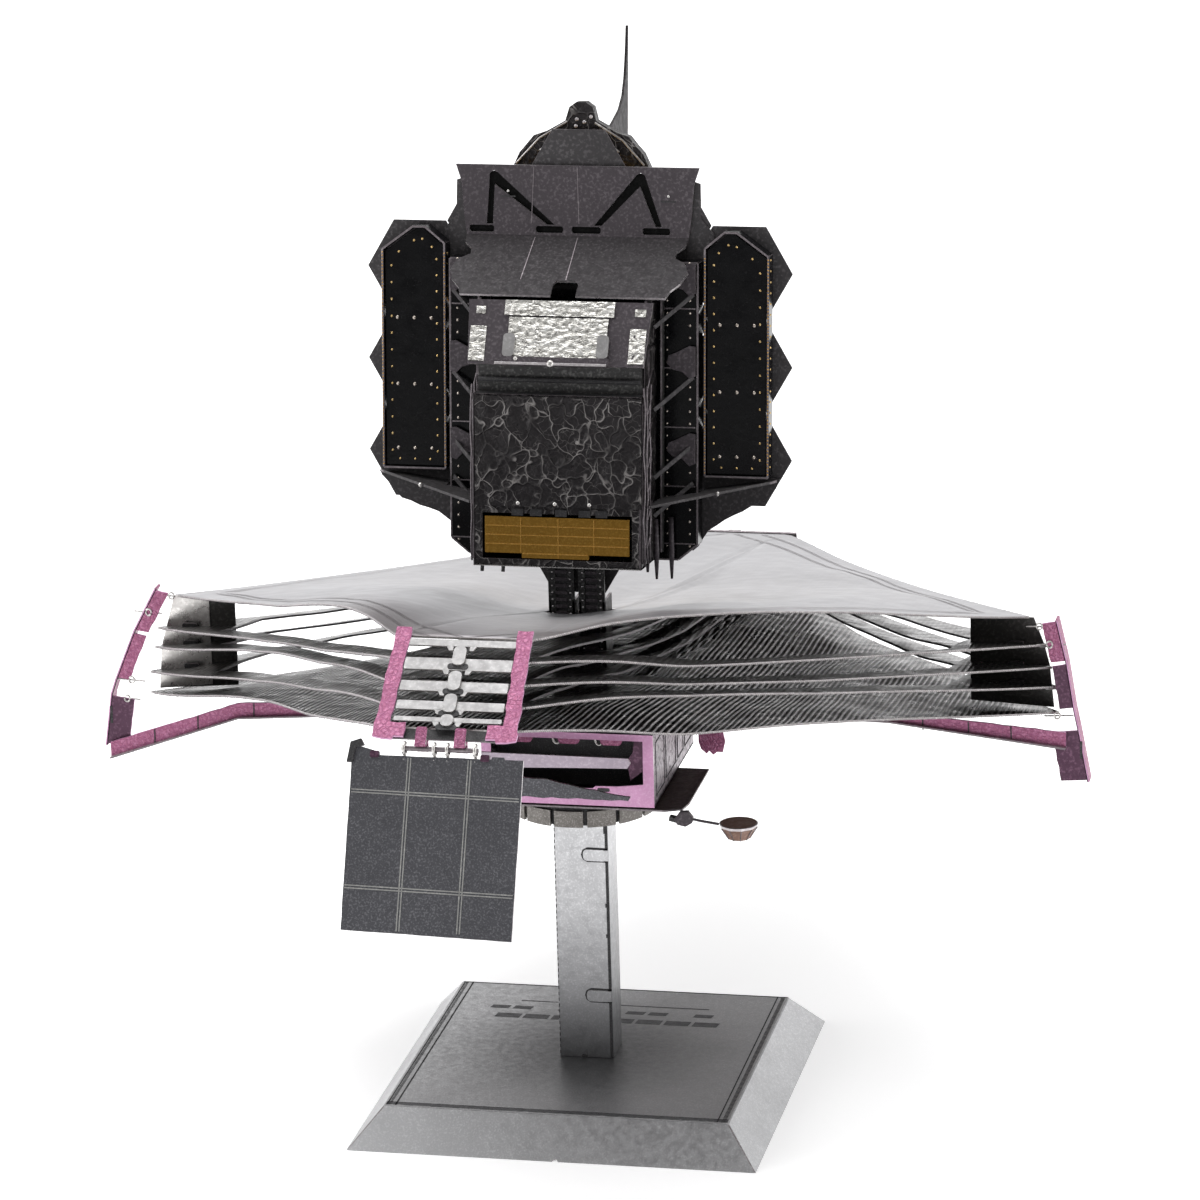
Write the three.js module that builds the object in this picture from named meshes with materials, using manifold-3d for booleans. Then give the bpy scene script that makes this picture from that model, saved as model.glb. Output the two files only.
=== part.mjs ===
// Display model of a segmented-mirror space telescope, folded from thin etched sheet metal.
// It stands on a square post and a low pyramid base.
// Units are millimetres. +Z is up, +Y is the way the mirror looks, +X is to the right seen from behind.
// The origin is the centre of the base's underside.

import * as THREE from 'three';
import { mergeVertices } from 'three/addons/utils/BufferGeometryUtils.js';
import Module from 'manifold-3d';

const wasm = await Module();
wasm.setup();

// ---------------------------------------------------------------- driving dimensions

const SHEET = 0.3;
const THIN_SHEET = 0.24;
const GAP = 0.15;

const BASE = { bottomHalf: 24.7, topHalf: 20.8, height: 4.5, wall: 0.45, floorHalf: 23.7 };
const POST = { halfX: 3.3, halfY: 2.6, top: 38.2, wall: 0.35 };
const RING = { radius: 9.0, wall: 0.35, bottom: 36.2, top: 38.3, sides: 32 };

const BUS = { halfX: 10.4, rear: -8.5, front: 16.0, floor: 39.0, rearTop: 48.0, frontTop: 46.2 };
const SOLAR = { z: 38.65, halfX: 14.0, rear: -8.6, front: 7.1 };

const LAYER_COUNT = 5;
const HULL = {
  tailHalf: 7.5,
  bowHalf: 7.7,
  bowY: 100.0,
  bowZ: 41.0,
  bowStepY: 1.0,
  bowStepZ: -2.0,
  tipX: [52.6, 54.9, 55.4, 56.1, 56.2],
  tipY: [9.6, 9.0, 9.0, 9.0, 9.0],
  sag: 3.0,
  sagHalfWidth: 30.0,
};

// The sheets are pulled out of flat along their edges. Each list runs along one edge of a layer,
// from the upper layer to the lower: the aft edge goes from the tail to the side tip, at the
// shares of its length in AFT_AT, and the forward edge from the tip to the bow, at FORWARD_AT.
const AFT_AT = [0, 0.15, 0.3, 0.55, 1];
const FORWARD_AT = [0, 0.35, 0.7, 1];
const EDGE_LIFT = {
  right: {
    aft: [
      [0.2, 1.35, 1.6, 0.9, -1.7],
      [0.2, -0.4, -1.8, -2.4, -2.9],
      [0.2, -0.3, -1.5, -2.6, -3.6],
      [0.2, 0.3, -0.4, -1.8, -3.9],
      [0.2, 0.0, -1.6, -2.5, -5.0],
    ],
    forward: [
      [-1.7, -1.8, -1.2, 0.0],
      [-2.9, -3.8, -3.2, -0.5],
      [-3.6, -4.0, -3.3, -0.5],
      [-3.9, -4.1, -3.5, -0.5],
      [-5.0, -4.2, -3.9, -0.8],
    ],
  },
  left: {
    aft: [
      [0.2, 1.5, 1.4, -0.6, -2.7],
      [0.2, -0.6, -1.5, -2.6, -4.8],
      [0.2, 0.2, -0.5, -1.6, -5.2],
      [0.2, -0.2, -1.3, -2.9, -6.3],
      [0.2, -0.8, -1.9, -2.8, -6.9],
    ],
    forward: [
      [-2.7, -1.7, -0.4, 0.0],
      [-4.8, -4.2, -2.4, -0.5],
      [-5.2, -4.2, -2.5, -0.5],
      [-6.3, -4.0, -2.6, -0.5],
      [-6.9, -6.1, -3.6, -0.8],
    ],
  },
};

// The three middle layers are open between a strip along each edge, a rib down the middle and the tips.
const OPEN_LAYERS = [1, 2, 3];
const OPENING = { inner: 7.0, outer: 44.3, aftStrip: 4.6, forwardStrip: 5.2 };

// The tail frame is a ladder that leans down and aft, from its head to its foot.
const TAIL = { headY: -57.3, headZ: 75.4, footY: -68.4, footZ: 67.0, half: 7.9, railWidth: 1.6 };
const TAIL_LENGTH = Math.hypot(TAIL.footY - TAIL.headY, TAIL.footZ - TAIL.headZ);
const TAIL_DIR = {
  y: (TAIL.footY - TAIL.headY) / TAIL_LENGTH,
  z: (TAIL.footZ - TAIL.headZ) / TAIL_LENGTH,
};
const LAYER_STEP_ON_TAIL = 3.0;

// The flap hangs on a round bar below the tail frame's foot.
const FLAP = { width: 18.8, length: 20.2, angle: 25.6, shiftX: -0.5, thickness: 0.3 };
const HINGE = { y: -69.2, z: 65.9, barRadius: 0.3, loopInner: 0.42, loopOuter: 0.75 };

const SIDE_Y = 8.0;
const SIDE_DEPTH = 2.0;

// The tower's channels end under the lowest mirror segment, and a tongue goes on up to the backplane.
const TOWER = { halfX: 3.4, slot: 0.5, rear: -0.9, front: 3.2, bottom: 48.4, top: 61.8, tongueTop: 66.8, wall: 0.35 };

// The telescope leans forward on its tower. Its own frame has the mirror's centre as origin.
const LEAN = { degrees: 7.0, centreY: 4.3, centreZ: 89.7 };

const HEX_SIDE = 6.35;
const HEX_PITCH = HEX_SIDE * Math.sqrt(3);
const MIRROR_THICKNESS = 0.3;

const WING_BOX = { inner: 15.6, outer: 23.1, bottom: -12.7, shoulder: 13.3, apexX: 18.5, apex: 16.0, rear: -2.9 };
const BACKPLANE = { halfX: 14.8, bottom: -22.6, top: 12.4, rear: -3.3, front: -0.45, latchZ: [-9.4, 0.9, 10.0] };
const SHELF = { innerX: 10.6, outerX: 23.9, innerZ: -15.3, outerZ: -13.3 };

const INSTRUMENT = { halfX: 10.0, rear: -12.6, front: -3.7, bottom: -22.5, recessTop: 1.0, recessBottom: -2.2 };
const FOIL_PANEL = { left: -9.7, right: 10.1, bottom: -15.3, top: -2.4 };
const BAFFLE = { half: 8.6, bottom: -20.9, top: -16.6 };

// The visor stands behind the mirror's upper half and flares aft below its fold.
const VISOR = { y: -0.75, top: 23.3, foldZ: 15.0, footY: -9.5, footZ: 8.9 };
const RADIATOR = { topY: -9.9, topZ: 8.4, footY: -13.2, footZ: 1.3, half: 10.9 };

const HOOD = { y: 2.2, bottom: 22.9, top: 26.6, bottomHalf: 8.2, topHalf: 5.6 };
const PEAK_TOP = 30.6;
const SECONDARY = { y: 55.7, radius: 3.1 };

// ---------------------------------------------------------------- materials

const finish = (color, roughness, metalness) =>
  new THREE.MeshStandardMaterial({ color, roughness, metalness });

const STEEL = finish(0x8f9092, 0.42, 0.9);
const SILVER = finish(0xd9d8da, 0.35, 0.85);
const PINK = finish(0xbc6a9c, 0.4, 0.75);
const LILAC = finish(0xd4a0c4, 0.4, 0.7);
const SLATE = finish(0x4d4d52, 0.6, 0.6);
const PLATE_GREY = finish(0x4a454a, 0.55, 0.7);
const FOIL_BLACK = finish(0x242022, 0.35, 0.7);
const GLOSS_BLACK = finish(0x141414, 0.25, 0.6);
const GOLD = finish(0x9a6f26, 0.3, 0.9);
const MIRROR_GOLD = finish(0xd9a441, 0.12, 1.0);
const FOIL_SILVER = finish(0xc6c4c2, 0.25, 0.9);

// ---------------------------------------------------------------- geometry helpers

const model = new THREE.Group();
const telescope = new THREE.Group();
telescope.position.set(0, LEAN.centreY, LEAN.centreZ);
telescope.rotation.x = -THREE.MathUtils.degToRad(LEAN.degrees);
model.add(telescope);

function add(name, geometry, material, parent = model) {
  const mesh = new THREE.Mesh(geometry, material);
  mesh.name = name;
  parent.add(mesh);
}

const addToTelescope = (name, geometry, material) => add(name, geometry, material, telescope);

// A closed geometry becomes a manifold solid, for joining and cutting.
function toSolid(geometry) {
  const bare = geometry.clone();
  bare.deleteAttribute('normal');
  bare.deleteAttribute('uv');
  const merged = mergeVertices(bare, 1e-4);
  return new wasm.Manifold(new wasm.Mesh({
    numProp: 3,
    vertProperties: new Float32Array(merged.attributes.position.array),
    triVerts: new Uint32Array(merged.index.array),
  }));
}

function fromSolid(solid) {
  const mesh = solid.getMesh();
  const geometry = new THREE.BufferGeometry();
  geometry.setAttribute('position', new THREE.BufferAttribute(new Float32Array(mesh.vertProperties), 3));
  geometry.setIndex(new THREE.BufferAttribute(new Uint32Array(mesh.triVerts), 1));
  geometry.computeVertexNormals();
  return geometry;
}

const join = (...parts) => fromSolid(parts.map(toSolid).reduce((a, b) => a.add(b)));
const cut = (body, ...tools) => fromSolid(tools.map(toSolid).reduce((a, b) => a.subtract(b), toSolid(body)));

// A block from its lowest and highest corners.
function block([x0, y0, z0], [x1, y1, z1]) {
  const geometry = new THREE.BoxGeometry(x1 - x0, y1 - y0, z1 - z0);
  geometry.translate((x0 + x1) / 2, (y0 + y1) / 2, (z0 + z1) / 2);
  return geometry;
}

// A frame is a matrix that lays a flat outline into space: u and v are its two directions.
function frame(origin, u, v) {
  const uAxis = new THREE.Vector3(...u).normalize();
  const normal = new THREE.Vector3().crossVectors(uAxis, new THREE.Vector3(...v)).normalize();
  const vAxis = new THREE.Vector3().crossVectors(normal, uAxis);
  return new THREE.Matrix4().makeBasis(uAxis, vAxis, normal).setPosition(...origin);
}

const upright = (y) => frame([0, y, 0], [1, 0, 0], [0, 0, 1]);
const level = (z) => frame([0, 0, z], [1, 0, 0], [0, 1, 0]);
const sideways = (x) => frame([x, 0, 0], [0, 1, 0], [0, 0, 1]);

// A flat plate of the given outline, centred on its frame's plane.
function plate(outline, thickness, placing, holes = []) {
  const shape = new THREE.Shape(outline.map(([x, y]) => new THREE.Vector2(x, y)));
  for (const hole of holes) shape.holes.push(new THREE.Path(hole.map(([x, y]) => new THREE.Vector2(x, y))));
  const geometry = new THREE.ExtrudeGeometry(shape, { depth: thickness, bevelEnabled: false, curveSegments: 6 });
  geometry.translate(0, 0, -thickness / 2);
  return geometry.applyMatrix4(placing);
}

const rect = (x0, y0, x1, y1) => [[x0, y0], [x1, y0], [x1, y1], [x0, y1]];
const mirrorX = (outline) => outline.map(([x, y]) => [-x, y]).reverse();

// A bar of square section between two points.
function bar(from, to, width, depth, up = [0, 0, 1]) {
  const start = new THREE.Vector3(...from);
  const along = new THREE.Vector3(...to).sub(start);
  const length = along.length();
  const placing = frame(from, along.toArray(), up);
  return plate(rect(0, -width / 2, length, width / 2), depth, placing);
}

// A ring or cup turned about the vertical through (x, y).
function turned(profile, sides, x = 0, y = 0) {
  const points = profile.map(([radius, height]) => new THREE.Vector2(radius, height));
  const geometry = new THREE.LatheGeometry(points, sides);
  geometry.rotateX(Math.PI / 2);
  geometry.translate(x, y, 0);
  return geometry;
}

// ---------------------------------------------------------------- base and post

function frustum(bottomHalf, topHalf, z0, z1) {
  const positions = [];
  for (const [half, z] of [[bottomHalf, z0], [topHalf, z1]]) {
    positions.push(-half, -half, z, half, -half, z, half, half, z, -half, half, z);
  }
  const geometry = new THREE.BufferGeometry();
  geometry.setAttribute('position', new THREE.Float32BufferAttribute(positions, 3));
  const faces = [0, 3, 2, 0, 2, 1, 4, 5, 6, 4, 6, 7];
  for (let i = 0; i < 4; i += 1) {
    const j = (i + 1) % 4;
    faces.push(i, j, j + 4, i, j + 4, i + 4);
  }
  geometry.setIndex(faces);
  return geometry;
}

function addBase() {
  const { bottomHalf, topHalf, height, wall, floorHalf } = BASE;
  const slope = (bottomHalf - topHalf) / height;
  const outer = frustum(bottomHalf, topHalf, 0, height);
  const inner = frustum(bottomHalf - wall + slope, topHalf - wall, -1, height - wall);
  add('base_cover', cut(outer, inner), STEEL);
  add('base_floor', block([-floorHalf, -floorHalf, 0], [floorHalf, floorHalf, SHEET]), STEEL);
}

function addPost() {
  const { halfX, halfY, top, wall } = POST;
  const foot = BASE.height + 0.1;
  const channel = [
    [-halfX, halfY - wall - 0.1], [-halfX, -halfY], [halfX, -halfY], [halfX, halfY - wall - 0.1],
    [halfX - wall, halfY - wall - 0.1], [halfX - wall, -halfY + wall],
    [-halfX + wall, -halfY + wall], [-halfX + wall, halfY - wall - 0.1],
  ];
  add('post_channel', plate(channel, top - foot, level((top + foot) / 2)), STEEL);
  add('post_face', block([-halfX, halfY - wall, foot], [halfX, halfY, top]), STEEL);
  const tabFace = upright(-halfY - 0.1 - THIN_SHEET / 2);
  for (const [name, height] of [['post_tab_upper', 30.6], ['post_tab_lower', 12.6]]) {
    const tab = [[3.0, -0.75], [3.0, 0.75], [0.6, 0.75], [0.1, 0.45], [-0.1, 0], [0.1, -0.45], [0.6, -0.75]];
    add(name, plate(tab.map(([x, z]) => [x, z + height]).reverse(), THIN_SHEET, tabFace), STEEL);
  }
}

function addRing() {
  const { radius, wall, bottom, top, sides } = RING;
  const profile = [[radius, bottom], [radius, top], [radius - wall, top], [radius - wall, bottom], [radius, bottom]];
  add('adapter_ring', turned(profile, sides), STEEL);
}

// ---------------------------------------------------------------- spacecraft body under the sunshield

const busTopAt = (y) => THREE.MathUtils.mapLinear(y, BUS.rear, BUS.front, BUS.rearTop, BUS.frontTop);

function addBus() {
  const { halfX, rear, front, floor } = BUS;
  const inside = rear + SHEET / 2 + GAP;
  const sideX = halfX - SHEET / 2;
  const floorPlate = block([-halfX, inside, floor], [halfX, front, floor + SHEET]);
  const wall = [
    [inside, floor], [front, floor], [front, busTopAt(front)], [inside, busTopAt(inside)],
  ];
  const frontPlate = block([-halfX, front - SHEET, floor], [halfX, front, busTopAt(front) - SHEET]);
  add('bus_shell', join(
    floorPlate,
    plate(wall, SHEET, sideways(sideX)),
    plate(wall, SHEET, sideways(-sideX)),
    frontPlate,
  ), SLATE);

  const opening = rect(-halfX + 1.1, floor + 2.5, halfX - 1.3, BUS.rearTop - 0.8);
  add('bus_rear_frame', plate(rect(-halfX, floor, halfX, BUS.rearTop), SHEET, upright(rear), [opening]), LILAC);

  const deckHalf = halfX - SHEET - GAP;
  const deckFront = front - SHEET - GAP;
  const deckRear = inside + 0.1;
  const deckDrop = 0.5;
  const run = [0, deckFront - deckRear, busTopAt(deckFront) - busTopAt(deckRear)];
  const deckLength = Math.hypot(run[1], run[2]);
  const deckPlace = frame([0, deckRear, busTopAt(deckRear) - deckDrop], [1, 0, 0], run);
  add('bus_deck', plate(rect(-deckHalf, 0, deckHalf, deckLength), THIN_SHEET, deckPlace), PINK);

  const shelf = frame([0, rear + 1.3, 0], [1, 0, 0], [0, -0.12, 1]);
  const upperShelf = [[-9.3, 44.9], [2.0, 45.4], [8.2, 45.6], [8.6, 46.4], [-9.3, 46.6]];
  const lowerShelf = [[-9.3, 41.3], [8.0, 41.2], [8.3, 41.7], [-2.0, 43.7], [-9.3, 43.9]];
  add('bus_shelf_upper', plate(upperShelf, THIN_SHEET, shelf), LILAC);
  add('bus_shelf_lower', plate(lowerShelf, THIN_SHEET, shelf), LILAC);
}

function addUnderside() {
  const { z, halfX, rear, front } = SOLAR;
  const outline = [
    [halfX - 2.4, rear], [halfX - 0.4, rear + 0.9], [halfX, rear + 3.0], [halfX, front],
    [-halfX, front], [-halfX, rear + 3.0], [-halfX + 0.4, rear + 0.9], [-halfX + 2.4, rear],
  ];
  add('solar_panel', plate(outline, THIN_SHEET, level(z)), PLATE_GREY);

  const sideTab = [[12.3, 40.2], [13.2, 39.6], [14.2, 39.9], [15.5, 40.1], [15.6, 47.2], [12.2, 47.2]];
  add('side_tab', plate(sideTab, THIN_SHEET, upright(10.0)), PINK);
}

function addAntenna() {
  const lug = [[13.2, 0.0], [13.5, -0.7], [14.6, -0.9], [15.1, 0.0], [14.6, 0.8], [13.5, 0.7]];
  const lugFace = upright(-9.4);
  add('antenna_bracket', plate(lug.map(([x, z]) => [x, z + 38.2]), 0.7, lugFace), SLATE);
  add('antenna_boom', bar([15.25, -9.5, 38.1], [18.35, -10.2, 37.9], 0.35, 0.35), SLATE);
  const dishX = 20.8;
  const profile = [
    [0, 36.4], [1.25, 36.4], [2.1, 38.0], [2.3, 38.0], [2.3, 38.25], [1.9, 38.35], [0, 38.1],
  ];
  add('antenna_dish', turned(profile, 16, dishX, -10.4), PLATE_GREY);
}

// ---------------------------------------------------------------- tail frame and flap

const tailFrame = frame(
  [0, TAIL.headY, TAIL.headZ],
  [1, 0, 0],
  [0, -TAIL_DIR.y, -TAIL_DIR.z],
);

function addTailFrame() {
  const { half, railWidth } = TAIL;
  const inner = half - railWidth;
  const foot = -TAIL_LENGTH;
  const rail = [
    [half, 0.3], [inner, 0.3], [inner, foot + 1.5], [inner - 2.0, foot + 1.5],
    [inner - 2.0, foot + 0.2], [half, foot],
  ];
  add('tail_rail_right', plate(rail.reverse(), SHEET, tailFrame), PINK);
  add('tail_rail_left', plate(mirrorX(rail), SHEET, tailFrame), PINK);

  const barHalf = inner - 0.2;
  const bars = [[-1.5, -2.5], [-4.3, -5.5], [-7.2, -8.3], [-9.9, -11.0]];
  const pieces = bars.map(([top, bottom]) => plate(rect(-barHalf, bottom, barHalf, top), THIN_SHEET, tailFrame));
  pieces.push(plate(rect(-barHalf, foot + 1.7, barHalf, foot + 2.3), THIN_SHEET, tailFrame));
  pieces.push(plate(rect(-0.7, foot + 2.0, 0.7, -2.0), THIN_SHEET, tailFrame));
  add('tail_ladder', join(...pieces), SILVER);
}

function addFlap() {
  const { width, length, angle, shiftX, thickness } = FLAP;
  const tilt = THREE.MathUtils.degToRad(angle);
  const down = [0, -Math.sin(tilt), -Math.cos(tilt)];
  const startGap = HINGE.loopOuter + 0.1;
  const panel = frame([shiftX, HINGE.y, HINGE.z], [1, 0, 0], [0, -down[1], -down[2]]);
  const half = width / 2;
  const skin = plate(rect(-half, -length - startGap, half, -startGap + 0.2), thickness, panel);

  const loops = [-3.7, -1.1, 0.7, 3.1].map((x) => {
    const turns = [];
    for (let i = 0; i <= 10; i += 1) turns.push(tilt + Math.PI * (-0.5 + (1.62 * i) / 10));
    const ring = (radius, angles) => angles.map((a) => [-radius * Math.sin(a), -radius * Math.cos(a)]);
    const outline = [...ring(HINGE.loopOuter, turns), ...ring(HINGE.loopInner, [...turns].reverse())];
    return plate(outline, 0.7, frame([x, HINGE.y, HINGE.z], [0, 1, 0], [0, 0, 1]));
  });
  add('momentum_flap', join(skin, ...loops), SLATE);

  const barGeometry = new THREE.CylinderGeometry(HINGE.barRadius, HINGE.barRadius, 8.4, 10);
  barGeometry.rotateZ(Math.PI / 2);
  barGeometry.translate(-0.3, HINGE.y, HINGE.z);
  add('flap_hinge_bar', barGeometry, STEEL);

  for (const [name, x] of [['flap_lug_left', -2.4], ['flap_lug_right', 1.9]]) {
    const top = HINGE.z + HINGE.barRadius + 0.1;
    const tongue = [
      [HINGE.y - 0.5, top], [HINGE.y + 0.75, top], [HINGE.y + 0.75, HINGE.z - 0.6],
      [HINGE.y + 1.0, HINGE.z - 0.6], [HINGE.y + 1.0, top + 0.25], [HINGE.y - 0.5, top + 0.25],
    ];
    add(name, plate(tongue, 1.0, sideways(x)), PINK);
  }
}

// ---------------------------------------------------------------- sunshield layers

// Where layer i meets the tail frame: on the ladder's line, and a little forward of it.
function tailPoint(i) {
  const along = 0.7 + LAYER_STEP_ON_TAIL * i;
  const behind = 0.6;
  return {
    y: TAIL.headY + TAIL_DIR.y * along - TAIL_DIR.z * behind,
    z: TAIL.headZ + TAIL_DIR.z * along + TAIL_DIR.y * behind,
  };
}

// The plan of layer i: half its width at a distance y, drawn in slightly between its corners.
function halfWidth(i, y) {
  const tail = tailPoint(i);
  const bowY = HULL.bowY + HULL.bowStepY * i;
  const near = y <= HULL.tipY[i];
  const t = near ? (y - tail.y) / (HULL.tipY[i] - tail.y) : (bowY - y) / (bowY - HULL.tipY[i]);
  const end = near ? HULL.tailHalf : HULL.bowHalf;
  return THREE.MathUtils.lerp(end, HULL.tipX[i], t) - 1.2 * Math.sin(Math.PI * t);
}

// The share of an edge's run, from its narrow end to the side tip, at a distance x from the middle.
function edgeShare(i, x, end) {
  const reach = HULL.tipX[i] - end;
  let share = 0;
  for (let pass = 0; pass < 4; pass += 1) {
    share = THREE.MathUtils.clamp((Math.abs(x) - end + 1.2 * Math.sin(Math.PI * share)) / reach, 0, 1);
  }
  return share;
}

function valueAt(shares, values, share) {
  const k = Math.max(1, shares.findIndex((s) => share <= s));
  return THREE.MathUtils.mapLinear(share, shares[k - 1], shares[k], values[k - 1], values[k]);
}

// A layer is ruled fore and aft between its two edges, and sags near the middle.
function layerHeight(i, x, y) {
  const tail = tailPoint(i);
  const bowY = HULL.bowY + HULL.bowStepY * i;
  const bowZ = HULL.bowZ + HULL.bowStepZ * i;
  const flatHeight = (along) => THREE.MathUtils.mapLinear(along, tail.y, bowY, tail.z, bowZ);
  const lift = x > 0 ? EDGE_LIFT.right : EDGE_LIFT.left;
  const aft = edgeShare(i, x, HULL.tailHalf);
  const forward = edgeShare(i, x, HULL.bowHalf);
  const aftY = THREE.MathUtils.lerp(tail.y, HULL.tipY[i], aft);
  const forwardY = THREE.MathUtils.lerp(bowY, HULL.tipY[i], forward);
  const aftZ = flatHeight(aftY) + valueAt(AFT_AT, lift.aft[i], aft);
  const forwardZ = flatHeight(forwardY) + valueAt(FORWARD_AT, lift.forward[i], 1 - forward);
  const share = THREE.MathUtils.clamp((y - aftY) / Math.max(forwardY - aftY, 0.001), 0, 1);
  const depth = HULL.sag * Math.max(0, 1 - Math.abs(x) / HULL.sagHalfWidth);
  return THREE.MathUtils.lerp(aftZ, forwardZ, share) - depth * (4 * share * (1 - share)) ** 2.5;
}

// The plan of one opening: it follows the aft and forward edges at a strip's width.
function openingOutline(i) {
  const tail = tailPoint(i);
  const bowY = HULL.bowY + HULL.bowStepY * i;
  const { inner, outer, aftStrip, forwardStrip } = OPENING;
  const aftY = (x) => THREE.MathUtils.lerp(tail.y, HULL.tipY[i], edgeShare(i, x + aftStrip, HULL.tailHalf));
  const forwardY = (x) => THREE.MathUtils.lerp(bowY, HULL.tipY[i], edgeShare(i, x + forwardStrip, HULL.bowHalf));
  const stations = [0, 0.25, 0.5, 0.75, 1].map((t) => THREE.MathUtils.lerp(inner, outer, t));
  return [
    ...stations.map((x) => [x, aftY(x)]),
    ...stations.reverse().map((x) => [x, forwardY(x)]),
  ];
}

function kiteSheet(i) {
  const tail = tailPoint(i);
  const bowY = HULL.bowY + HULL.bowStepY * i;
  const rows = [];
  const nearRows = 7;
  const farRows = 7;
  for (let r = 0; r <= nearRows; r += 1) rows.push(THREE.MathUtils.lerp(tail.y, HULL.tipY[i], r / nearRows));
  for (let r = 1; r <= farRows; r += 1) rows.push(THREE.MathUtils.lerp(HULL.tipY[i], bowY, r / farRows));
  const columns = 12;
  const stride = columns + 1;
  const positions = [];
  for (const side of [1, -1]) {
    for (const y of rows) {
      for (let c = 0; c <= columns; c += 1) {
        const x = halfWidth(i, y) * ((2 * c) / columns - 1);
        positions.push(x, y, layerHeight(i, x, y) + (side * THIN_SHEET) / 2);
      }
    }
  }
  const half = rows.length * stride;
  const faces = [];
  const quad = (a, b, c, d) => faces.push(a, b, c, a, c, d);
  for (let r = 0; r < rows.length - 1; r += 1) {
    for (let c = 0; c < columns; c += 1) {
      const a = r * stride + c;
      quad(a, a + 1, a + 1 + stride, a + stride);
      quad(a + half, a + half + stride, a + half + stride + 1, a + half + 1);
    }
  }
  const rim = [];
  for (let c = 0; c < columns; c += 1) rim.push(c);
  for (let r = 0; r < rows.length - 1; r += 1) rim.push(r * stride + columns);
  for (let c = columns; c > 0; c -= 1) rim.push((rows.length - 1) * stride + c);
  for (let r = rows.length - 1; r > 0; r -= 1) rim.push(r * stride);
  rim.forEach((a, k) => {
    const b = rim[(k + 1) % rim.length];
    quad(a, a + half, b + half, b);
  });
  const geometry = new THREE.BufferGeometry();
  geometry.setAttribute('position', new THREE.Float32BufferAttribute(positions, 3));
  geometry.setIndex(faces);
  return geometry;
}

const SPREADER = { inner: 45.4, y: 10.6, outerTop: 53.0, outerBottom: 55.4 };

function addSunshield() {
  const towerHole = block(
    [-TOWER.halfX - 0.5, TOWER.rear - 0.5, 30],
    [TOWER.halfX + 0.5, TOWER.front + 0.5, 90],
  );
  // The spreaders stand in slots that run out through the layers' forward edges.
  const slots = [1, -1].map((side) => {
    const [a, b] = [SPREADER.inner - 0.3, SPREADER.outerBottom + 3].map((x) => x * side);
    return block([Math.min(a, b), SPREADER.y - 0.4, 30], [Math.max(a, b), SPREADER.y + 0.4, 90]);
  });
  for (let i = 0; i < LAYER_COUNT; i += 1) {
    const opening = openingOutline(i);
    const openings = OPEN_LAYERS.includes(i)
      ? [opening, mirrorX(opening)].map((outline) => plate(outline, 60, level(60)))
      : [];
    add(`sunshield_layer_${i + 1}`, cut(kiteSheet(i), towerHole, ...slots, ...openings), SILVER);
  }

  const { inner, outerTop, outerBottom, y } = SPREADER;
  for (const [name, side] of [['spreader_right', 1], ['spreader_left', -1]]) {
    const outline = [
      [inner, layerHeight(4, side * inner, y) + 0.6],
      [outerBottom, layerHeight(4, side * outerBottom, y) + 0.6],
      [outerTop, layerHeight(0, side * outerTop, y) - 0.5],
      [inner, layerHeight(0, side * inner, y) - 0.5],
    ];
    add(name, plate(side > 0 ? outline : mirrorX(outline), SHEET, upright(y)), FOIL_BLACK);
  }
}

function addBowFrame() {
  const topY = HULL.bowY + 0.7;
  const run = [0, -4 * HULL.bowStepY, -4 * HULL.bowStepZ];
  const height = Math.hypot(run[1], run[2]);
  const placing = frame([0, topY, HULL.bowZ], [1, 0, 0], run);
  const half = 8.6;
  const holes = [0, 1, 2, 3].map((k) => {
    const low = -height + (height * k) / 4 + 0.5;
    return rect(-half + 1.4, low, half - 1.4, low + height / 4 - 1.0);
  });
  const outline = rect(-half, -height - 1.0, half, 0.2);
  add('bow_frame', plate(outline, SHEET, placing, holes), PINK);
}

// ---------------------------------------------------------------- side brackets and booms

// Each side bracket is an upright channel: a spine, and aft flanges turned in from it.
// A flange follows the spine between two of its points and is wider below than above.
// The booms lie just aft of the brackets. The left one droops more than the right one.
const BRACKET = {
  right: {
    spine: [[56.6, 58.8], [57.9, 53.6], [59.1, 47.8], [59.7, 45.4], [61.0, 38.8]],
    flangeWidth: { upper: 1.8, lower: 3.2 },
    boom: { top: [[10.6, 46.8], [42.0, 46.5], [57.2, 45.1]], depth: [1.6, 1.7, 1.9] },
  },
  left: {
    spine: [[54.6, 58.8], [57.6, 53.2], [60.2, 47.0], [60.9, 45.0], [61.9, 38.4]],
    flangeWidth: { upper: 1.7, lower: 2.9 },
    boom: { top: [[10.6, 46.8], [44.6, 44.7], [61.2, 39.0]], depth: [1.6, 1.8, 1.9] },
  },
};
const BOOM_Y = SIDE_Y - 0.6;
const BOOM_LIP = 0.9;

// The outline of a thin strip that follows a path.
function strip(path, width) {
  const left = [];
  const right = [];
  path.forEach(([x, z], k) => {
    const before = path[Math.max(k - 1, 0)];
    const after = path[Math.min(k + 1, path.length - 1)];
    const length = Math.hypot(after[0] - before[0], after[1] - before[1]);
    const across = [(after[1] - before[1]) / length, -(after[0] - before[0]) / length];
    left.push([x + (across[0] * width) / 2, z + (across[1] * width) / 2]);
    right.push([x - (across[0] * width) / 2, z - (across[1] * width) / 2]);
  });
  return [...left, ...right.reverse()];
}

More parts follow.
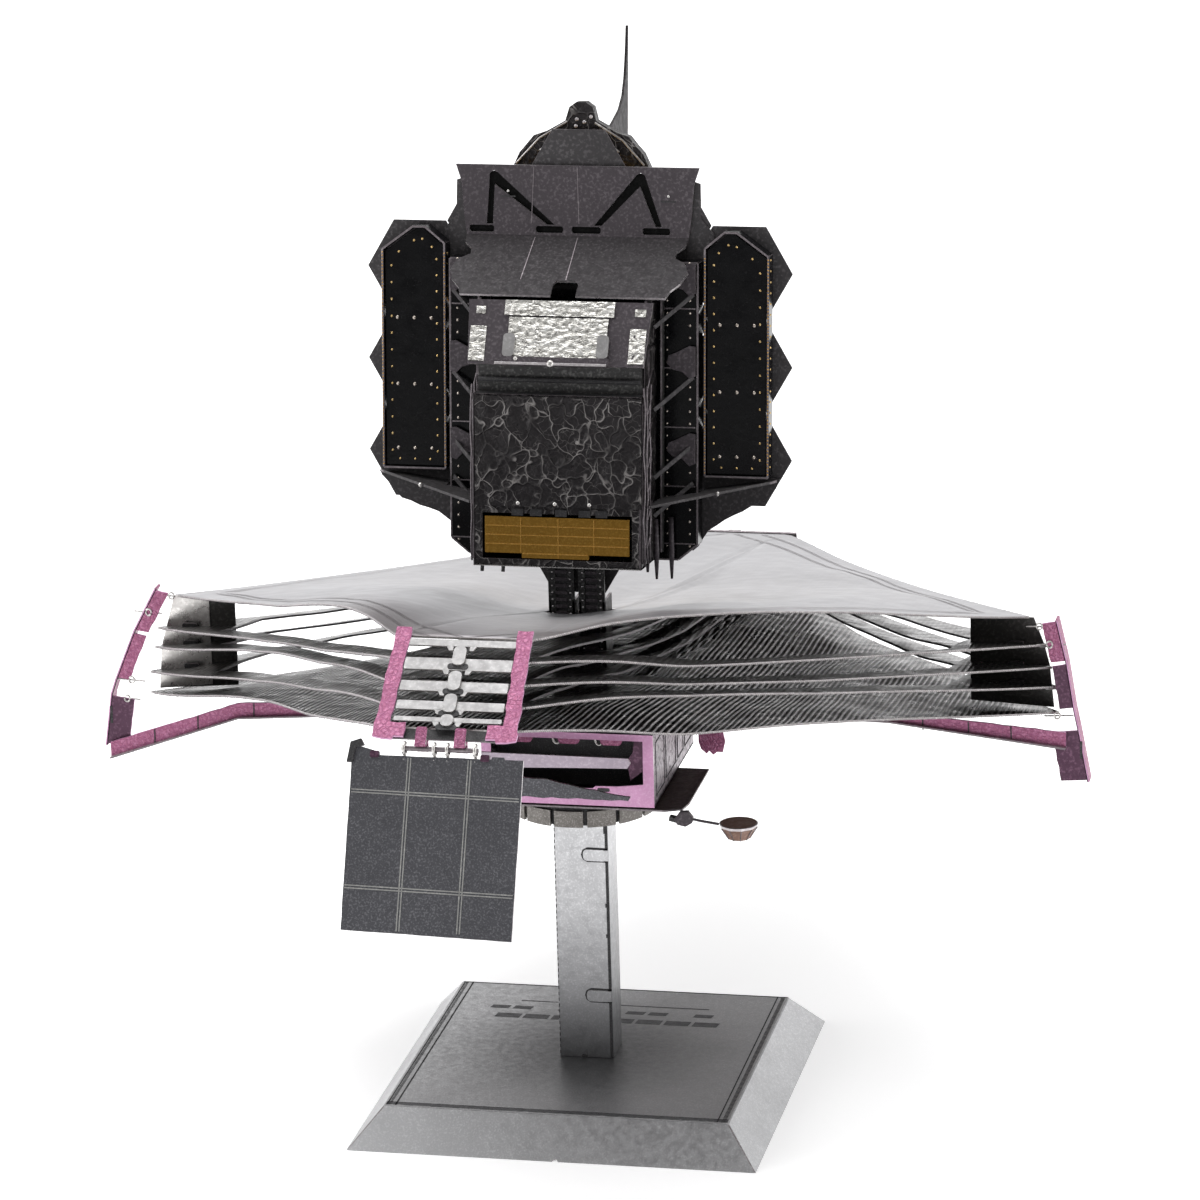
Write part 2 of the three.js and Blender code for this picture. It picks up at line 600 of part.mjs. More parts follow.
function addSides() {
  for (const [side, sign] of [['right', 1], ['left', -1]]) {
    const { spine, flangeWidth, boom } = BRACKET[side];
    const placed = (outline) => (sign > 0 ? outline : mirrorX(outline));
    const flange = (points, width) => placed([
      ...points.map(([x, z]) => [x - width, z - 0.4]),
      ...[...points].reverse(),
    ]);
    add(`side_bracket_${side}`, join(
      plate(placed(strip(spine, SHEET)), SIDE_DEPTH, upright(SIDE_Y + (SIDE_DEPTH - SHEET) / 2)),
      plate(flange(spine.slice(0, 3), flangeWidth.upper), SHEET, upright(SIDE_Y)),
      plate(flange(spine.slice(3), flangeWidth.lower), SHEET, upright(SIDE_Y)),
    ), PINK);

    const lower = boom.top.map(([x, z], k) => [x, z - boom.depth[k]]);
    add(`mid_boom_${side}`, join(
      plate(placed([...lower, ...[...boom.top].reverse()]), SHEET, upright(BOOM_Y)),
      plate(placed(strip(lower, SHEET)), BOOM_LIP, upright(BOOM_Y - (BOOM_LIP - SHEET) / 2)),
    ), PINK);
  }
}

// ---------------------------------------------------------------- tower

function addTower() {
  const { halfX, slot, rear, front, bottom, top, tongueTop, wall } = TOWER;
  const inner = slot / 2;
  const channel = [
    [halfX, rear], [halfX, front], [halfX - wall, front], [halfX - wall, rear + wall],
    [inner + wall, rear + wall], [inner + wall, front], [inner, front], [inner, rear],
  ];
  const middle = level((top + bottom) / 2);
  for (const [name, side] of [['tower_right', channel], ['tower_left', mirrorX(channel)]]) {
    const xs = side.map(([x]) => x);
    const tongue = block([Math.min(...xs), rear, top - 1], [Math.max(...xs), rear + wall, tongueTop]);
    add(name, join(plate(side, top - bottom, middle), tongue), FOIL_BLACK);
  }
}

// ---------------------------------------------------------------- mirror and backplane, in the telescope's frame

function hexagon(column, offset, side = HEX_SIDE) {
  const corners = [];
  for (let k = 0; k < 6; k += 1) {
    const a = (Math.PI / 3) * k;
    corners.push([column * 1.5 * HEX_SIDE + side * Math.cos(a), offset * HEX_PITCH + side * Math.sin(a)]);
  }
  return corners;
}

// Segments of the primary mirror, by column and by height in pitches.
const CENTRE_SEGMENTS = [
  ...[-2, -1, 1, 2].map((n) => [0, n]),
  ...[-1.5, -0.5, 0.5, 1.5].flatMap((n) => [[-1, n], [1, n]]),
];
const WING_SEGMENTS = [-1, 0, 1];
const WELD = 0.002;
const WING_GAP = 0.14;

function addMirror() {
  const segment = ([column, offset]) => plate(
    hexagon(column, offset, HEX_SIDE + WELD),
    MIRROR_THICKNESS,
    upright(0),
  );
  addToTelescope('mirror_centre', join(...CENTRE_SEGMENTS.map(segment)), MIRROR_GOLD);
  for (const [name, column] of [['mirror_wing_left', -2], ['mirror_wing_right', 2]]) {
    const wing = join(...WING_SEGMENTS.map((n) => segment([column, n])));
    wing.translate(Math.sign(column) * WING_GAP, 0, 0);
    addToTelescope(name, wing, MIRROR_GOLD);
  }
}

// A tray of the given outline: a rear plate with a wall all round, open to the front.
function tray(outline, inset, rear, front) {
  const outer = plate(outline, front - rear, upright((rear + front) / 2));
  const inner = plate(inset, front - rear, upright((rear + front) / 2 + SHEET));
  return cut(outer, inner);
}

function addBackplane() {
  const { halfX, bottom, top, rear, front, latchZ } = BACKPLANE;
  const shape = (half, low, high) => [
    [half, low + 1.8], [half, high], [-half, high], [-half, low + 1.8], [-half + 2.2, low], [half - 2.2, low],
  ];
  const body = tray(
    shape(halfX, bottom, top),
    shape(halfX - SHEET, bottom + SHEET, top - SHEET),
    rear,
    front,
  );
  const latches = [];
  for (const z of latchZ) {
    const lobe = [[14.6, z + 2.0], [13.4, z + 1.6], [11.6, z + 0.4], [11.9, z - 0.6], [14.6, z - 1.9]];
    for (const outline of [lobe, mirrorX(lobe)]) latches.push(plate(outline, 0.6, upright(rear - 0.2)));
  }
  addToTelescope('backplane_centre', join(body, ...latches), GLOSS_BLACK);

  const { inner, outer, shoulder, apexX, apex } = WING_BOX;
  const low = WING_BOX.bottom;
  const box = [[inner, low], [outer, low], [outer, shoulder], [apexX, apex], [inner, shoulder + 0.8]];
  const hollow = [
    [inner + SHEET, low + SHEET], [outer - SHEET, low + SHEET], [outer - SHEET, shoulder - 0.2],
    [apexX, apex - SHEET * 1.3], [inner + SHEET, shoulder + 0.6],
  ];
  addToTelescope('wing_box_right', tray(box, hollow, WING_BOX.rear, front), GLOSS_BLACK);
  addToTelescope('wing_box_left', tray(mirrorX(box), mirrorX(hollow), WING_BOX.rear, front), GLOSS_BLACK);

  const { innerX, outerX, innerZ, outerZ } = SHELF;
  const slope = (outerZ - innerZ) / (outerX - innerX);
  const stretch = Math.hypot(1, slope);
  const shelf = [
    [innerX, -11.0], [outerX, -1.6], [outerX, front], [15.3, front], [15.3, rear - 0.5], [innerX, rear - 0.5],
  ].map(([x, y]) => [(x - innerX) * stretch, y]);
  const rightPlace = frame([innerX, 0, innerZ], [1, 0, slope], [0, 1, 0]);
  const leftPlace = frame([-innerX, 0, innerZ], [1, 0, -slope], [0, 1, 0]);
  addToTelescope('shelf_right', plate(shelf, SHEET, rightPlace), PLATE_GREY);
  addToTelescope('shelf_left', plate(mirrorX(shelf), SHEET, leftPlace), PLATE_GREY);
}

// ---------------------------------------------------------------- instrument box, radiator and visor

function addInstrumentBox() {
  const { halfX, rear, front, bottom, recessTop, recessBottom } = INSTRUMENT;
  const recess = rear + 2.0;
  const visorSlope = (VISOR.foldZ - VISOR.footZ) / (VISOR.y - VISOR.footY);
  const underVisor = (y) => VISOR.footZ + visorSlope * (y - VISOR.footY) - 0.6;
  const wallProfile = [
    [rear, bottom], [front, bottom], [front, underVisor(front)], [-9.0, underVisor(-9.0)],
    [recess, recessTop + 3.0], [recess, recessTop], [recess, recessBottom], [rear, recessBottom],
  ];
  const opening = rect(-BAFFLE.half - 0.3, BAFFLE.bottom - 0.8, BAFFLE.half + 0.3, BAFFLE.top + 0.4);
  const rearPlate = plate(rect(-halfX, bottom, halfX, recessBottom), SHEET, upright(rear + SHEET / 2), [opening]);
  addToTelescope('instrument_box', join(
    plate(wallProfile, SHEET, sideways(halfX - SHEET / 2)),
    plate(wallProfile, SHEET, sideways(-halfX + SHEET / 2)),
    block([-halfX, rear, bottom], [halfX, front, bottom + SHEET]),
    rearPlate,
    block([-halfX, rear, recessBottom - SHEET], [halfX, recess, recessBottom]),
    block([-halfX, recess, recessBottom - SHEET], [halfX, recess + SHEET, recessTop]),
  ), FOIL_BLACK);

  const { left, right } = FOIL_PANEL;
  const panelY = rear - 0.2 - SHEET / 2;
  const panel = rect(left, FOIL_PANEL.bottom, right, FOIL_PANEL.top);
  addToTelescope('instrument_foil', plate(panel, SHEET, upright(panelY)), FOIL_BLACK);

  const { half } = BAFFLE;
  const lip = [[-4.2, BAFFLE.bottom], [-4.2, BAFFLE.bottom - 0.5], [3.8, BAFFLE.bottom - 0.5], [3.8, BAFFLE.bottom]];
  const outline = [[-half, BAFFLE.bottom], ...lip, [half, BAFFLE.bottom], [half, BAFFLE.top], [-half, BAFFLE.top]];
  const plane = rear + SHEET / 2;
  const ribs = [0.25, 0.5, 0.75].map((t) => {
    const z = THREE.MathUtils.lerp(BAFFLE.bottom, BAFFLE.top, t);
    return block([-half + 0.3, plane - 0.35, z - 0.12], [half - 0.3, plane + 0.1, z + 0.12]);
  });
  addToTelescope('gold_baffle', join(plate(outline, SHEET, upright(plane)), ...ribs), GOLD);

  const { topY, topZ, footY, footZ } = RADIATOR;
  const run = [0, topY - footY, topZ - footZ];
  const length = Math.hypot(run[1], run[2]);
  const slope = frame([0, footY, footZ], [1, 0, 0], run);
  const skirt = RADIATOR.half;
  const sheet = [[-skirt + 0.5, 0], [skirt - 0.5, 0], [skirt, length], [-skirt, length]];
  addToTelescope('radiator_panel', plate(sheet, SHEET, slope), PLATE_GREY);
  const raise = new THREE.Matrix4().makeTranslation(0, 0, SHEET / 2 + 0.2 + THIN_SHEET / 2);
  const lifted = slope.clone().multiply(raise);
  addToTelescope('radiator_foil', plate(rect(-5.9, 0.9, 5.9, length - 1.0), THIN_SHEET, lifted), FOIL_SILVER);
}

function addVisor() {
  const { y, top, foldZ, footY, footZ } = VISOR;
  const upper = upright(y);
  const run = [0, footY - y, footZ - foldZ];
  const length = Math.hypot(run[1], run[2]);
  const lower = frame([0, y, foldZ], [1, 0, 0], [0, -run[1], -run[2]]);
  const upperHalf = [[14.6, top], [14.4, top - 2.2], [14.2, 16.8], [13.4, 16.5], [13.4, foldZ]];
  const lowerHalf = [
    [13.4, 0.1], [13.4, -1.8], [12.6, -2.8], [13.6, -length + 3.0],
    [13.4, -length + 1.7], [12.2, -length + 0.9], [12.1, -length],
  ];
  const bothSides = (half) => [...half.map(([x, z]) => [-x, z]), ...[...half].reverse()];
  const notch = rect(-1.4, -length - 1, 1.6, -length + 2.6);
  const leg = (x0, x1, z0, z1, width) => [[x0, z0], [x1, z1], [x1 + width, z1], [x0 + width, z0]];
  const windows = [
    leg(-10.2, -11.0, 22.0, 16.2, 0.9), leg(-9.2, -3.4, 22.0, 16.2, 1.0),
    leg(7.4, 2.2, 22.0, 16.2, 1.0), leg(8.7, 10.4, 22.0, 16.2, 0.9),
  ];
  const foldSlots = [-12.2, -3.6, 0.9, 8.9].map((x) => rect(x, foldZ + 0.2, x + 2.5, foldZ + 0.9));
  const cutters = [...windows, ...foldSlots].map((hole) => plate(hole, 3 * SHEET, upper));
  cutters.push(plate(notch, 3 * SHEET, lower));
  addToTelescope('visor_plate', cut(
    join(plate(bothSides(upperHalf), SHEET, upper), plate(bothSides(lowerHalf), SHEET, lower)),
    ...cutters,
  ), PLATE_GREY);

  const hood = [
    [-HOOD.bottomHalf, HOOD.bottom], [HOOD.bottomHalf, HOOD.bottom],
    [HOOD.topHalf, HOOD.top], [-HOOD.topHalf, HOOD.top],
  ];
  addToTelescope('top_hood', plate(hood, 1.8, upright(HOOD.y)), FOIL_BLACK);
  const foot = HOOD.top + 0.2;
  const peak = [[-2.2, foot], [2.2, foot], [0.9, PEAK_TOP - 0.2], [0, PEAK_TOP], [-0.9, PEAK_TOP - 0.2]];
  addToTelescope('top_peak', plate(peak, 1.0, upright(HOOD.y)), PLATE_GREY);
}

// ---------------------------------------------------------------- secondary mirror and its struts

function addFrontOptics() {
  const { y, radius } = SECONDARY;
  const mount = new THREE.CylinderGeometry(radius, radius, 0.6, 24);
  mount.translate(0, y, 0);
  const hub = new THREE.CylinderGeometry(1.2, 1.9, 2.2, 12);
  hub.translate(0, y + 1.3, 0);
  addToTelescope('secondary_mirror', join(mount, hub), MIRROR_GOLD);

  const strutTop = [0, HOOD.y + 1.6, 26.0];
  const strutEnd = [0, y - 0.2, radius + 0.6];
  const slope = (strutEnd[2] - strutTop[2]) / (strutEnd[1] - strutTop[1]);
  const heightAt = (along) => strutTop[2] + slope * (along - strutTop[1]);
  const fin = [
    [15.2, heightAt(15.2)], [28.0, heightAt(28.0)], [28.2, 37.7], [27.4, 33.9],
    [26.3, 30.7], [23.8, 28.3], [19.6, 26.8], [15.2, 25.7],
  ];
  const depth = 1.3;
  const web = [
    [strutTop[1], strutTop[2] - depth / 2], [strutEnd[1], strutEnd[2] - depth / 2],
    [strutEnd[1], strutEnd[2] + depth / 2], [strutTop[1], strutTop[2] + depth / 2],
  ];
  addToTelescope('strut_upper', join(
    plate(web, SHEET, sideways(0)),
    plate(fin, SHEET, sideways(0)),
    bar(strutTop, strutEnd, SHEET, 1.4, [1, 0, 0]),
  ), PLATE_GREY);

  for (const [name, sign] of [['strut_lower_right', 1], ['strut_lower_left', -1]]) {
    const from = [sign * 15.4, 0.7, -16.3];
    const to = [sign * (radius + 0.4), y - 0.2, -2.6];
    addToTelescope(name, join(bar(from, to, 1.3, SHEET), bar(from, to, SHEET, 1.3)), PLATE_GREY);
  }

  const cone = new THREE.LatheGeometry([
    new THREE.Vector2(0, 0), new THREE.Vector2(3.0, 0), new THREE.Vector2(2.2, 6.5),
    new THREE.Vector2(1.2, 13.0), new THREE.Vector2(0, 13.0),
  ], 12);
  addToTelescope('aft_optics_cone', cone, FOIL_BLACK);
}

// ---------------------------------------------------------------- assembly

addBase();
addPost();
addRing();
addBus();
addUnderside();
addAntenna();
addTailFrame();
addFlap();
addSunshield();
addBowFrame();
addSides();
addTower();
addMirror();
addBackplane();
addInstrumentBox();
addVisor();
addFrontOptics();

export default model;
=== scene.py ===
"""A folded sheet-metal display model of a segmented-mirror space telescope, on its stand.

Every length in the builders below is in millimetres; Piece.done() turns it into metres.
"""

import math
import random

import bmesh
import bpy
from mathutils import Matrix, Vector, noise
from mathutils.geometry import tessellate_polygon


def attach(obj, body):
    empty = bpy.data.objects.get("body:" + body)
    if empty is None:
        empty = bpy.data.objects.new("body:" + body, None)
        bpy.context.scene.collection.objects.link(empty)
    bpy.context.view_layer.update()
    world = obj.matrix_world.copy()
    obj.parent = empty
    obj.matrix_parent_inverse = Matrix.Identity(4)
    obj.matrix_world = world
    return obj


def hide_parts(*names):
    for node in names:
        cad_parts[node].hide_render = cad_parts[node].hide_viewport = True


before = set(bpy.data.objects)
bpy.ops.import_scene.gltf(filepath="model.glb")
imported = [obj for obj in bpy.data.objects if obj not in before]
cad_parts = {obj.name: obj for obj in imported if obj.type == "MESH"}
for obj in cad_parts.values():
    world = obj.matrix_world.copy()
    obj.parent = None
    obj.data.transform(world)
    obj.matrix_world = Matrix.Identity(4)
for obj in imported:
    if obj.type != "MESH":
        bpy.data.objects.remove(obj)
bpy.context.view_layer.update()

MM = 0.001
THIN = 0.24
SHEET = 0.3

# ---------------------------------------------------------------- shared dimensions, as in the CAD

BASE_BOTTOM, BASE_TOP, BASE_HEIGHT = 24.7, 20.8, 4.5
POST_X, POST_Y, POST_TOP = 3.3, 2.6, 38.2
RING_RADIUS, RING_LOW, RING_HIGH = 9.0, 36.2, 38.3

BUS_X, BUS_REAR, BUS_FRONT, BUS_FLOOR = 10.4, -8.5, 16.0, 39.0
BUS_REAR_TOP, BUS_FRONT_TOP = 48.0, 46.2

TAIL_HEAD = Vector((0.0, -57.3, 75.4))
TAIL_FOOT = Vector((0.0, -68.4, 67.0))
TAIL_RUN = TAIL_FOOT - TAIL_HEAD
TAIL_LENGTH = TAIL_RUN.length
TAIL_HALF, RAIL_WIDTH = 7.9, 1.7

HINGE = Vector((0.0, -69.2, 65.9))
FLAP_ANGLE = math.radians(25.6)
FLAP_WIDTH, FLAP_LENGTH, FLAP_SHIFT = 18.8, 20.2, -0.5

TIP_X = (52.6, 54.9, 55.4, 56.1, 56.2)
TIP_Y = (9.6, 9.0, 9.0, 9.0, 9.0)
TAIL_WIDTH_HALF, BOW_WIDTH_HALF = 7.5, 7.7
BOW_Y, BOW_Z = 100.0, 41.0

SIDE_Y = 8.0
BOOM_Y = 7.4

HEX_SIDE = 6.35
HEX_PITCH = HEX_SIDE * math.sqrt(3)


# ---------------------------------------------------------------- placing

def frame_at(origin, u, v):
    """A placing whose first two directions are u and v."""
    first = Vector(u).normalized()
    normal = first.cross(Vector(v)).normalized()
    second = normal.cross(first)
    turn = Matrix((first, second, normal)).transposed().to_4x4()
    return Matrix.Translation(Vector(origin)) @ turn


def upright(y):
    """A plane facing the rear, with X and Z as its own directions."""
    return frame_at((0, y, 0), (1, 0, 0), (0, 0, 1))


def level(z):
    """A plane facing up, with X and Y as its own directions."""
    return frame_at((0, 0, z), (1, 0, 0), (0, 1, 0))


def sideways(x):
    """A plane facing the right, with Y and Z as its own directions."""
    return frame_at((x, 0, 0), (0, 1, 0), (0, 0, 1))


def lifted(place, height):
    """The placing, moved along its own normal."""
    return place @ Matrix.Translation((0, 0, height))


HERE = Matrix.Identity(4)
REARWARD = (0, -1, 0)
TELESCOPE = Matrix.Translation((0, 4.3, 89.7)) @ Matrix.Rotation(math.radians(-7.0), 4, "X")


def turns(count):
    """Equal steps round a circle, in radians."""
    return [math.tau * n / count for n in range(count)]


def rect(x0, y0, x1, y1):
    return [(x0, y0), (x1, y0), (x1, y1), (x0, y1)]


def mirrored(outline):
    return [(-x, y) for x, y in reversed(outline)]


def on_side(outline, sign):
    """The outline for the right side, or its mirror image for the left."""
    return outline if sign > 0 else mirrored(outline)


def rounded(x0, y0, x1, y1, radius, steps=4):
    """A rectangle with round corners."""
    corners = [(x1 - radius, y0 + radius, -90), (x1 - radius, y1 - radius, 0),
               (x0 + radius, y1 - radius, 90), (x0 + radius, y0 + radius, 180)]
    outline = []
    for cx, cy, start in corners:
        for k in range(steps + 1):
            a = math.radians(start + 90 * k / steps)
            outline.append((cx + radius * math.cos(a), cy + radius * math.sin(a)))
    return outline


def ragged(outline, step, depth, seed):
    """The same outline with slightly uneven edges, as etched and snipped sheet has."""
    rng = random.Random(seed)
    rough = []
    for (x0, y0), (x1, y1) in zip(outline, outline[1:] + outline[:1]):
        length = math.hypot(x1 - x0, y1 - y0)
        count = max(1, int(length / step))
        for k in range(count):
            t = k / count
            shift = depth * (rng.random() - 0.5) if 0 < k else 0.0
            nx, ny = (y1 - y0) / length, -(x1 - x0) / length
            rough.append((x0 + (x1 - x0) * t + nx * shift, y0 + (y1 - y0) * t + ny * shift))
    return rough


# ---------------------------------------------------------------- materials

# Where a colour mix node keeps its factor, its two colours and its result.
MIX_FACTOR, MIX_A, MIX_B, MIX_COLOR = 0, 6, 7, 2


class Look:
    """A procedural material: a principled shader with nodes for colour, roughness and bump."""

    def __init__(self, name, color, metallic, roughness, specular=0.5):
        self.material = bpy.data.materials.new(name)
        self.material.use_nodes = True
        self.tree = self.material.node_tree
        self.shader = self.tree.nodes["Principled BSDF"]
        self.shader.inputs["Base Color"].default_value = (*color, 1)
        self.shader.inputs["Metallic"].default_value = metallic
        self.shader.inputs["Roughness"].default_value = roughness
        self.shader.inputs["Specular IOR Level"].default_value = specular
        self.color = color
        self.bump = None
        coords = self.tree.nodes.new("ShaderNodeTexCoord")
        scale = self.tree.nodes.new("ShaderNodeVectorMath")
        scale.operation = "SCALE"
        scale.inputs["Scale"].default_value = 1 / MM
        self.tree.links.new(coords.outputs["Object"], scale.inputs[0])
        self.mm = scale.outputs[0]

    def node(self, kind, **settings):
        made = self.tree.nodes.new(kind)
        for key, value in settings.items():
            if hasattr(made, key):
                setattr(made, key, value)
            else:
                made.inputs[key.replace("_", " ")].default_value = value
        return made

    def link(self, a, b):
        self.tree.links.new(a, b)

    def noise(self, per_mm, detail=3.0, distortion=0.0, stretch=None):
        texture = self.node("ShaderNodeTexNoise", Scale=per_mm, Detail=detail, Distortion=distortion)
        self.link(self.stretched(stretch) if stretch else self.mm, texture.inputs["Vector"])
        return texture.outputs["Fac"]

    def stretched(self, stretch, turn=(0, 0, 0)):
        mapping = self.node("ShaderNodeMapping")
        mapping.inputs["Scale"].default_value = stretch
        mapping.inputs["Rotation"].default_value = [math.radians(a) for a in turn]
        self.link(self.mm, mapping.inputs["Vector"])
        return mapping.outputs[0]

    def cells(self, per_mm, warp=0.4, stretch=(1, 1, 1), detail=3.0):
        """The distance to the nearest crease of a crumpled sheet."""
        shake = self.node("ShaderNodeTexNoise", Scale=per_mm * 1.3, Detail=detail)
        self.link(self.mm, shake.inputs["Vector"])
        add = self.node("ShaderNodeVectorMath", operation="MULTIPLY_ADD")
        self.link(shake.outputs["Color"], add.inputs[0])
        add.inputs[1].default_value = (warp / per_mm,) * 3
        self.link(self.stretched(stretch), add.inputs[2])
        texture = self.node("ShaderNodeTexVoronoi", feature="DISTANCE_TO_EDGE", Scale=per_mm)
        self.link(add.outputs[0], texture.inputs["Vector"])
        return texture.outputs["Distance"]

    def ribs(self, per_mm, turn):
        texture = self.node("ShaderNodeTexWave", wave_profile="SIN", Scale=per_mm, Distortion=0.6,
                            Detail=2.0, Detail_Scale=0.6)
        self.link(self.stretched((1, 1, 1), (0, 0, turn)), texture.inputs["Vector"])
        return texture.outputs["Fac"]

    def along(self, axis):
        """The X, Y or Z place in millimetres."""
        split = self.node("ShaderNodeSeparateXYZ")
        self.link(self.mm, split.inputs[0])
        return split.outputs[axis]

    def from_axis(self):
        """The distance from the stand's vertical axis, in millimetres."""
        made = self.node("ShaderNodeVectorMath", operation="LENGTH")
        self.link(self.stretched((1, 1, 0)), made.inputs[0])
        return made.outputs["Value"]

    def ramp(self, value, low, high, dark, light):
        made = self.node("ShaderNodeMapRange", interpolation_type="SMOOTHSTEP")
        self.link(value, made.inputs["Value"])
        for key, number in (("From Min", low), ("From Max", high), ("To Min", dark), ("To Max", light)):
            made.inputs[key].default_value = number
        return made.outputs["Result"]

    def times(self, a, b):
        made = self.node("ShaderNodeMath", operation="MULTIPLY")
        self.link(a, made.inputs[0])
        self.link(b, made.inputs[1])
        return made.outputs[0]

    def tint(self, factor, color):
        """Mixes colour into the base colour where factor is 1."""
        socket = self.shader.inputs["Base Color"]
        mix = self.node("ShaderNodeMix", data_type="RGBA")
        if socket.links:
            self.link(socket.links[0].from_socket, mix.inputs[MIX_A])
        else:
            mix.inputs[MIX_A].default_value = socket.default_value
        mix.inputs[MIX_B].default_value = (*color, 1)
        self.link(factor, mix.inputs[MIX_FACTOR])
        self.link(mix.outputs[MIX_COLOR], socket)
        return self

    def rough(self, factor, low, high):
        self.link(self.ramp(factor, 0.25, 0.75, low, high), self.shader.inputs["Roughness"])
        return self

    def relief(self, height, depth_mm):
        """Adds relief of the given depth, on top of any there already."""
        made = self.node("ShaderNodeBump", Strength=1.0, Distance=depth_mm * MM)
        self.link(height, made.inputs["Height"])
        if self.bump:
            self.link(self.bump, made.inputs["Normal"])
        self.bump = made.outputs["Normal"]
        self.link(self.bump, self.shader.inputs["Normal"])
        return self


def speckle(look, light, grain, amount, depth):
    """Etched sheet: fine light grains over the colour, uneven gloss and a pitted surface."""
    grains = look.noise(grain, 4.0)
    look.tint(look.ramp(grains, 0.48, 0.68, 0.0, amount), light)
    cloud = look.noise(0.12, 3.0)
    look.tint(look.ramp(cloud, 0.35, 0.75, 0.0, 0.35), [c * 0.7 for c in look.color])
    roughness = look.shader.inputs["Roughness"].default_value
    look.rough(look.noise(1.3, 4.0), roughness - 0.08, roughness + 0.1)
    look.relief(grains, depth)
    return look


def speckled(name, color, light, metallic, roughness, grain=5.0, amount=0.6, depth=0.02, specular=0.5):
    """A new speckled material."""
    look = Look(name, color, metallic, roughness, specular)
    return speckle(look, light, grain, amount, depth).material


def base_steel():
    """Steel with a painted reflection: its colour darkens towards the post, standing in for the dark model
    above mirrored in it.
    """
    look = speckle(Look("etched_steel", (0.5, 0.5, 0.51), 0.9, 0.42), (0.72, 0.72, 0.73),
                   4.5, 0.55, 0.012)
    # Painted reflection: darker near the post.
    look.tint(look.ramp(look.from_axis(), 3.0, 21.0, 0.86, 0.0), (0.14, 0.14, 0.145))
    return look.material


def post_steel():
    """Steel with painted shade: its colour darkens towards the foot of the post."""
    look = speckle(Look("post_steel", (0.47, 0.47, 0.48), 0.92, 0.36), (0.75, 0.75, 0.76),
                   4.5, 0.5, 0.01)
    # Painted shade: darker towards the foot of the post.
    look.tint(look.ramp(look.along("Z"), 3.0, 33.0, 0.85, 0.0), (0.14, 0.14, 0.145))
    return look.material


STEEL = base_steel()
POST_STEEL = post_steel()
RING_STEEL = speckled("ring_steel", (0.15, 0.14, 0.13), (0.34, 0.32, 0.31), 0.8, 0.48, 5.0, 0.6, 0.02)
DARK_GROOVE_AND_SHADE = speckled("groove_and_painted_shade", (0.035, 0.034, 0.036), (0.11, 0.11, 0.11), 0.5, 0.6, 6.0, 0.5, 0.01)
ETCH = speckled("etch_grey", (0.12, 0.12, 0.125), (0.22, 0.22, 0.23), 0.7, 0.55, 6.0, 0.5, 0.01)
CUT_EDGE = speckled("cut_edge", (0.46, 0.43, 0.44), (0.8, 0.78, 0.78), 0.9, 0.34, 3.0, 0.5, 0.01)
DIM_EDGE = speckled("dim_edge", (0.16, 0.14, 0.15), (0.34, 0.31, 0.32), 0.8, 0.42, 3.0, 0.5, 0.01)
SLATE = speckled("slate_plate", (0.062, 0.062, 0.07), (0.21, 0.21, 0.225), 0.45, 0.5, 5.0, 0.5, 0.03)
FLAP_LINE = speckled("flap_line", (0.32, 0.32, 0.31), (0.55, 0.54, 0.52), 0.7, 0.45, 4.0, 0.6, 0.015)
PLATE_GREY = speckled("grey_plate", (0.052, 0.044, 0.05), (0.18, 0.158, 0.172), 0.35, 0.5, 3.0, 0.4,
                      0.03, 0.35)
# A darker copy of the grey plate: painted shade on the lower visor plate and the fin.
SHADED_GREY_PLATE = speckled("grey_plate_painted_shade", (0.018, 0.015, 0.017), (0.08, 0.07, 0.077), 0.3, 0.55, 3.0, 0.4,
                       0.03, 0.3)
# A lighter copy of the grey plate: painted light, making up for the shade over the wing shelves.
SHELF_GREY = speckled("shelf_grey", (0.06, 0.056, 0.058), (0.18, 0.17, 0.175), 0.4, 0.5, 2.6, 0.5,
                      0.03, 0.4)
# Near black for painted shade, put behind the visor's slots.
PAINTED_SHADE_BLACK = speckled("painted_shade_black", (0.003, 0.003, 0.003), (0.012, 0.012, 0.012), 0.0, 0.8, 3.0, 0.3,
                      0.01, 0.1)
HEX_GREY = speckled("hex_grey", (0.042, 0.039, 0.041), (0.16, 0.148, 0.155), 0.35, 0.5, 2.6, 0.4, 0.03,
                    0.35)
UNDER_BROWN = speckled("under_brown", (0.07, 0.05, 0.043), (0.16, 0.125, 0.11), 0.3, 0.5,
                       3.0, 0.5, 0.02)
EDGE_GREY = speckled("edge_grey", (0.3, 0.285, 0.28), (0.62, 0.6, 0.58), 0.9, 0.36, 2.8, 0.6, 0.01)
DISH_BROWN = speckled("dish_brown", (0.22, 0.13, 0.1), (0.36, 0.24, 0.19), 0.3, 0.45, 3.0, 0.5, 0.02)
SILVER = speckled("bright_silver", (0.27, 0.265, 0.265), (0.42, 0.41, 0.41), 0.85, 0.46,
                  3.0, 0.4, 0.008)
LILAC = speckled("lilac_metal", (0.5, 0.26, 0.42), (0.64, 0.43, 0.58), 0.55, 0.42, 3.5, 0.4, 0.01)
LAVENDER = speckled("lavender_metal", (0.3, 0.255, 0.3), (0.48, 0.42, 0.47), 0.8, 0.34, 3.0, 0.4, 0.01)
PLUM = speckled("plum_metal", (0.07, 0.03, 0.055), (0.2, 0.1, 0.16), 0.6, 0.42, 3.0, 0.5, 0.02)
SPREADER_GREY = speckled("spreader_grey", (0.05, 0.048, 0.045), (0.14, 0.135, 0.13), 0.5, 0.4, 2.4,
                         0.5, 0.03)
TOWER_DARK = speckled("tower_dark", (0.035, 0.034, 0.034), (0.16, 0.16, 0.155), 0.6, 0.42,
                      3.0, 0.6, 0.03)
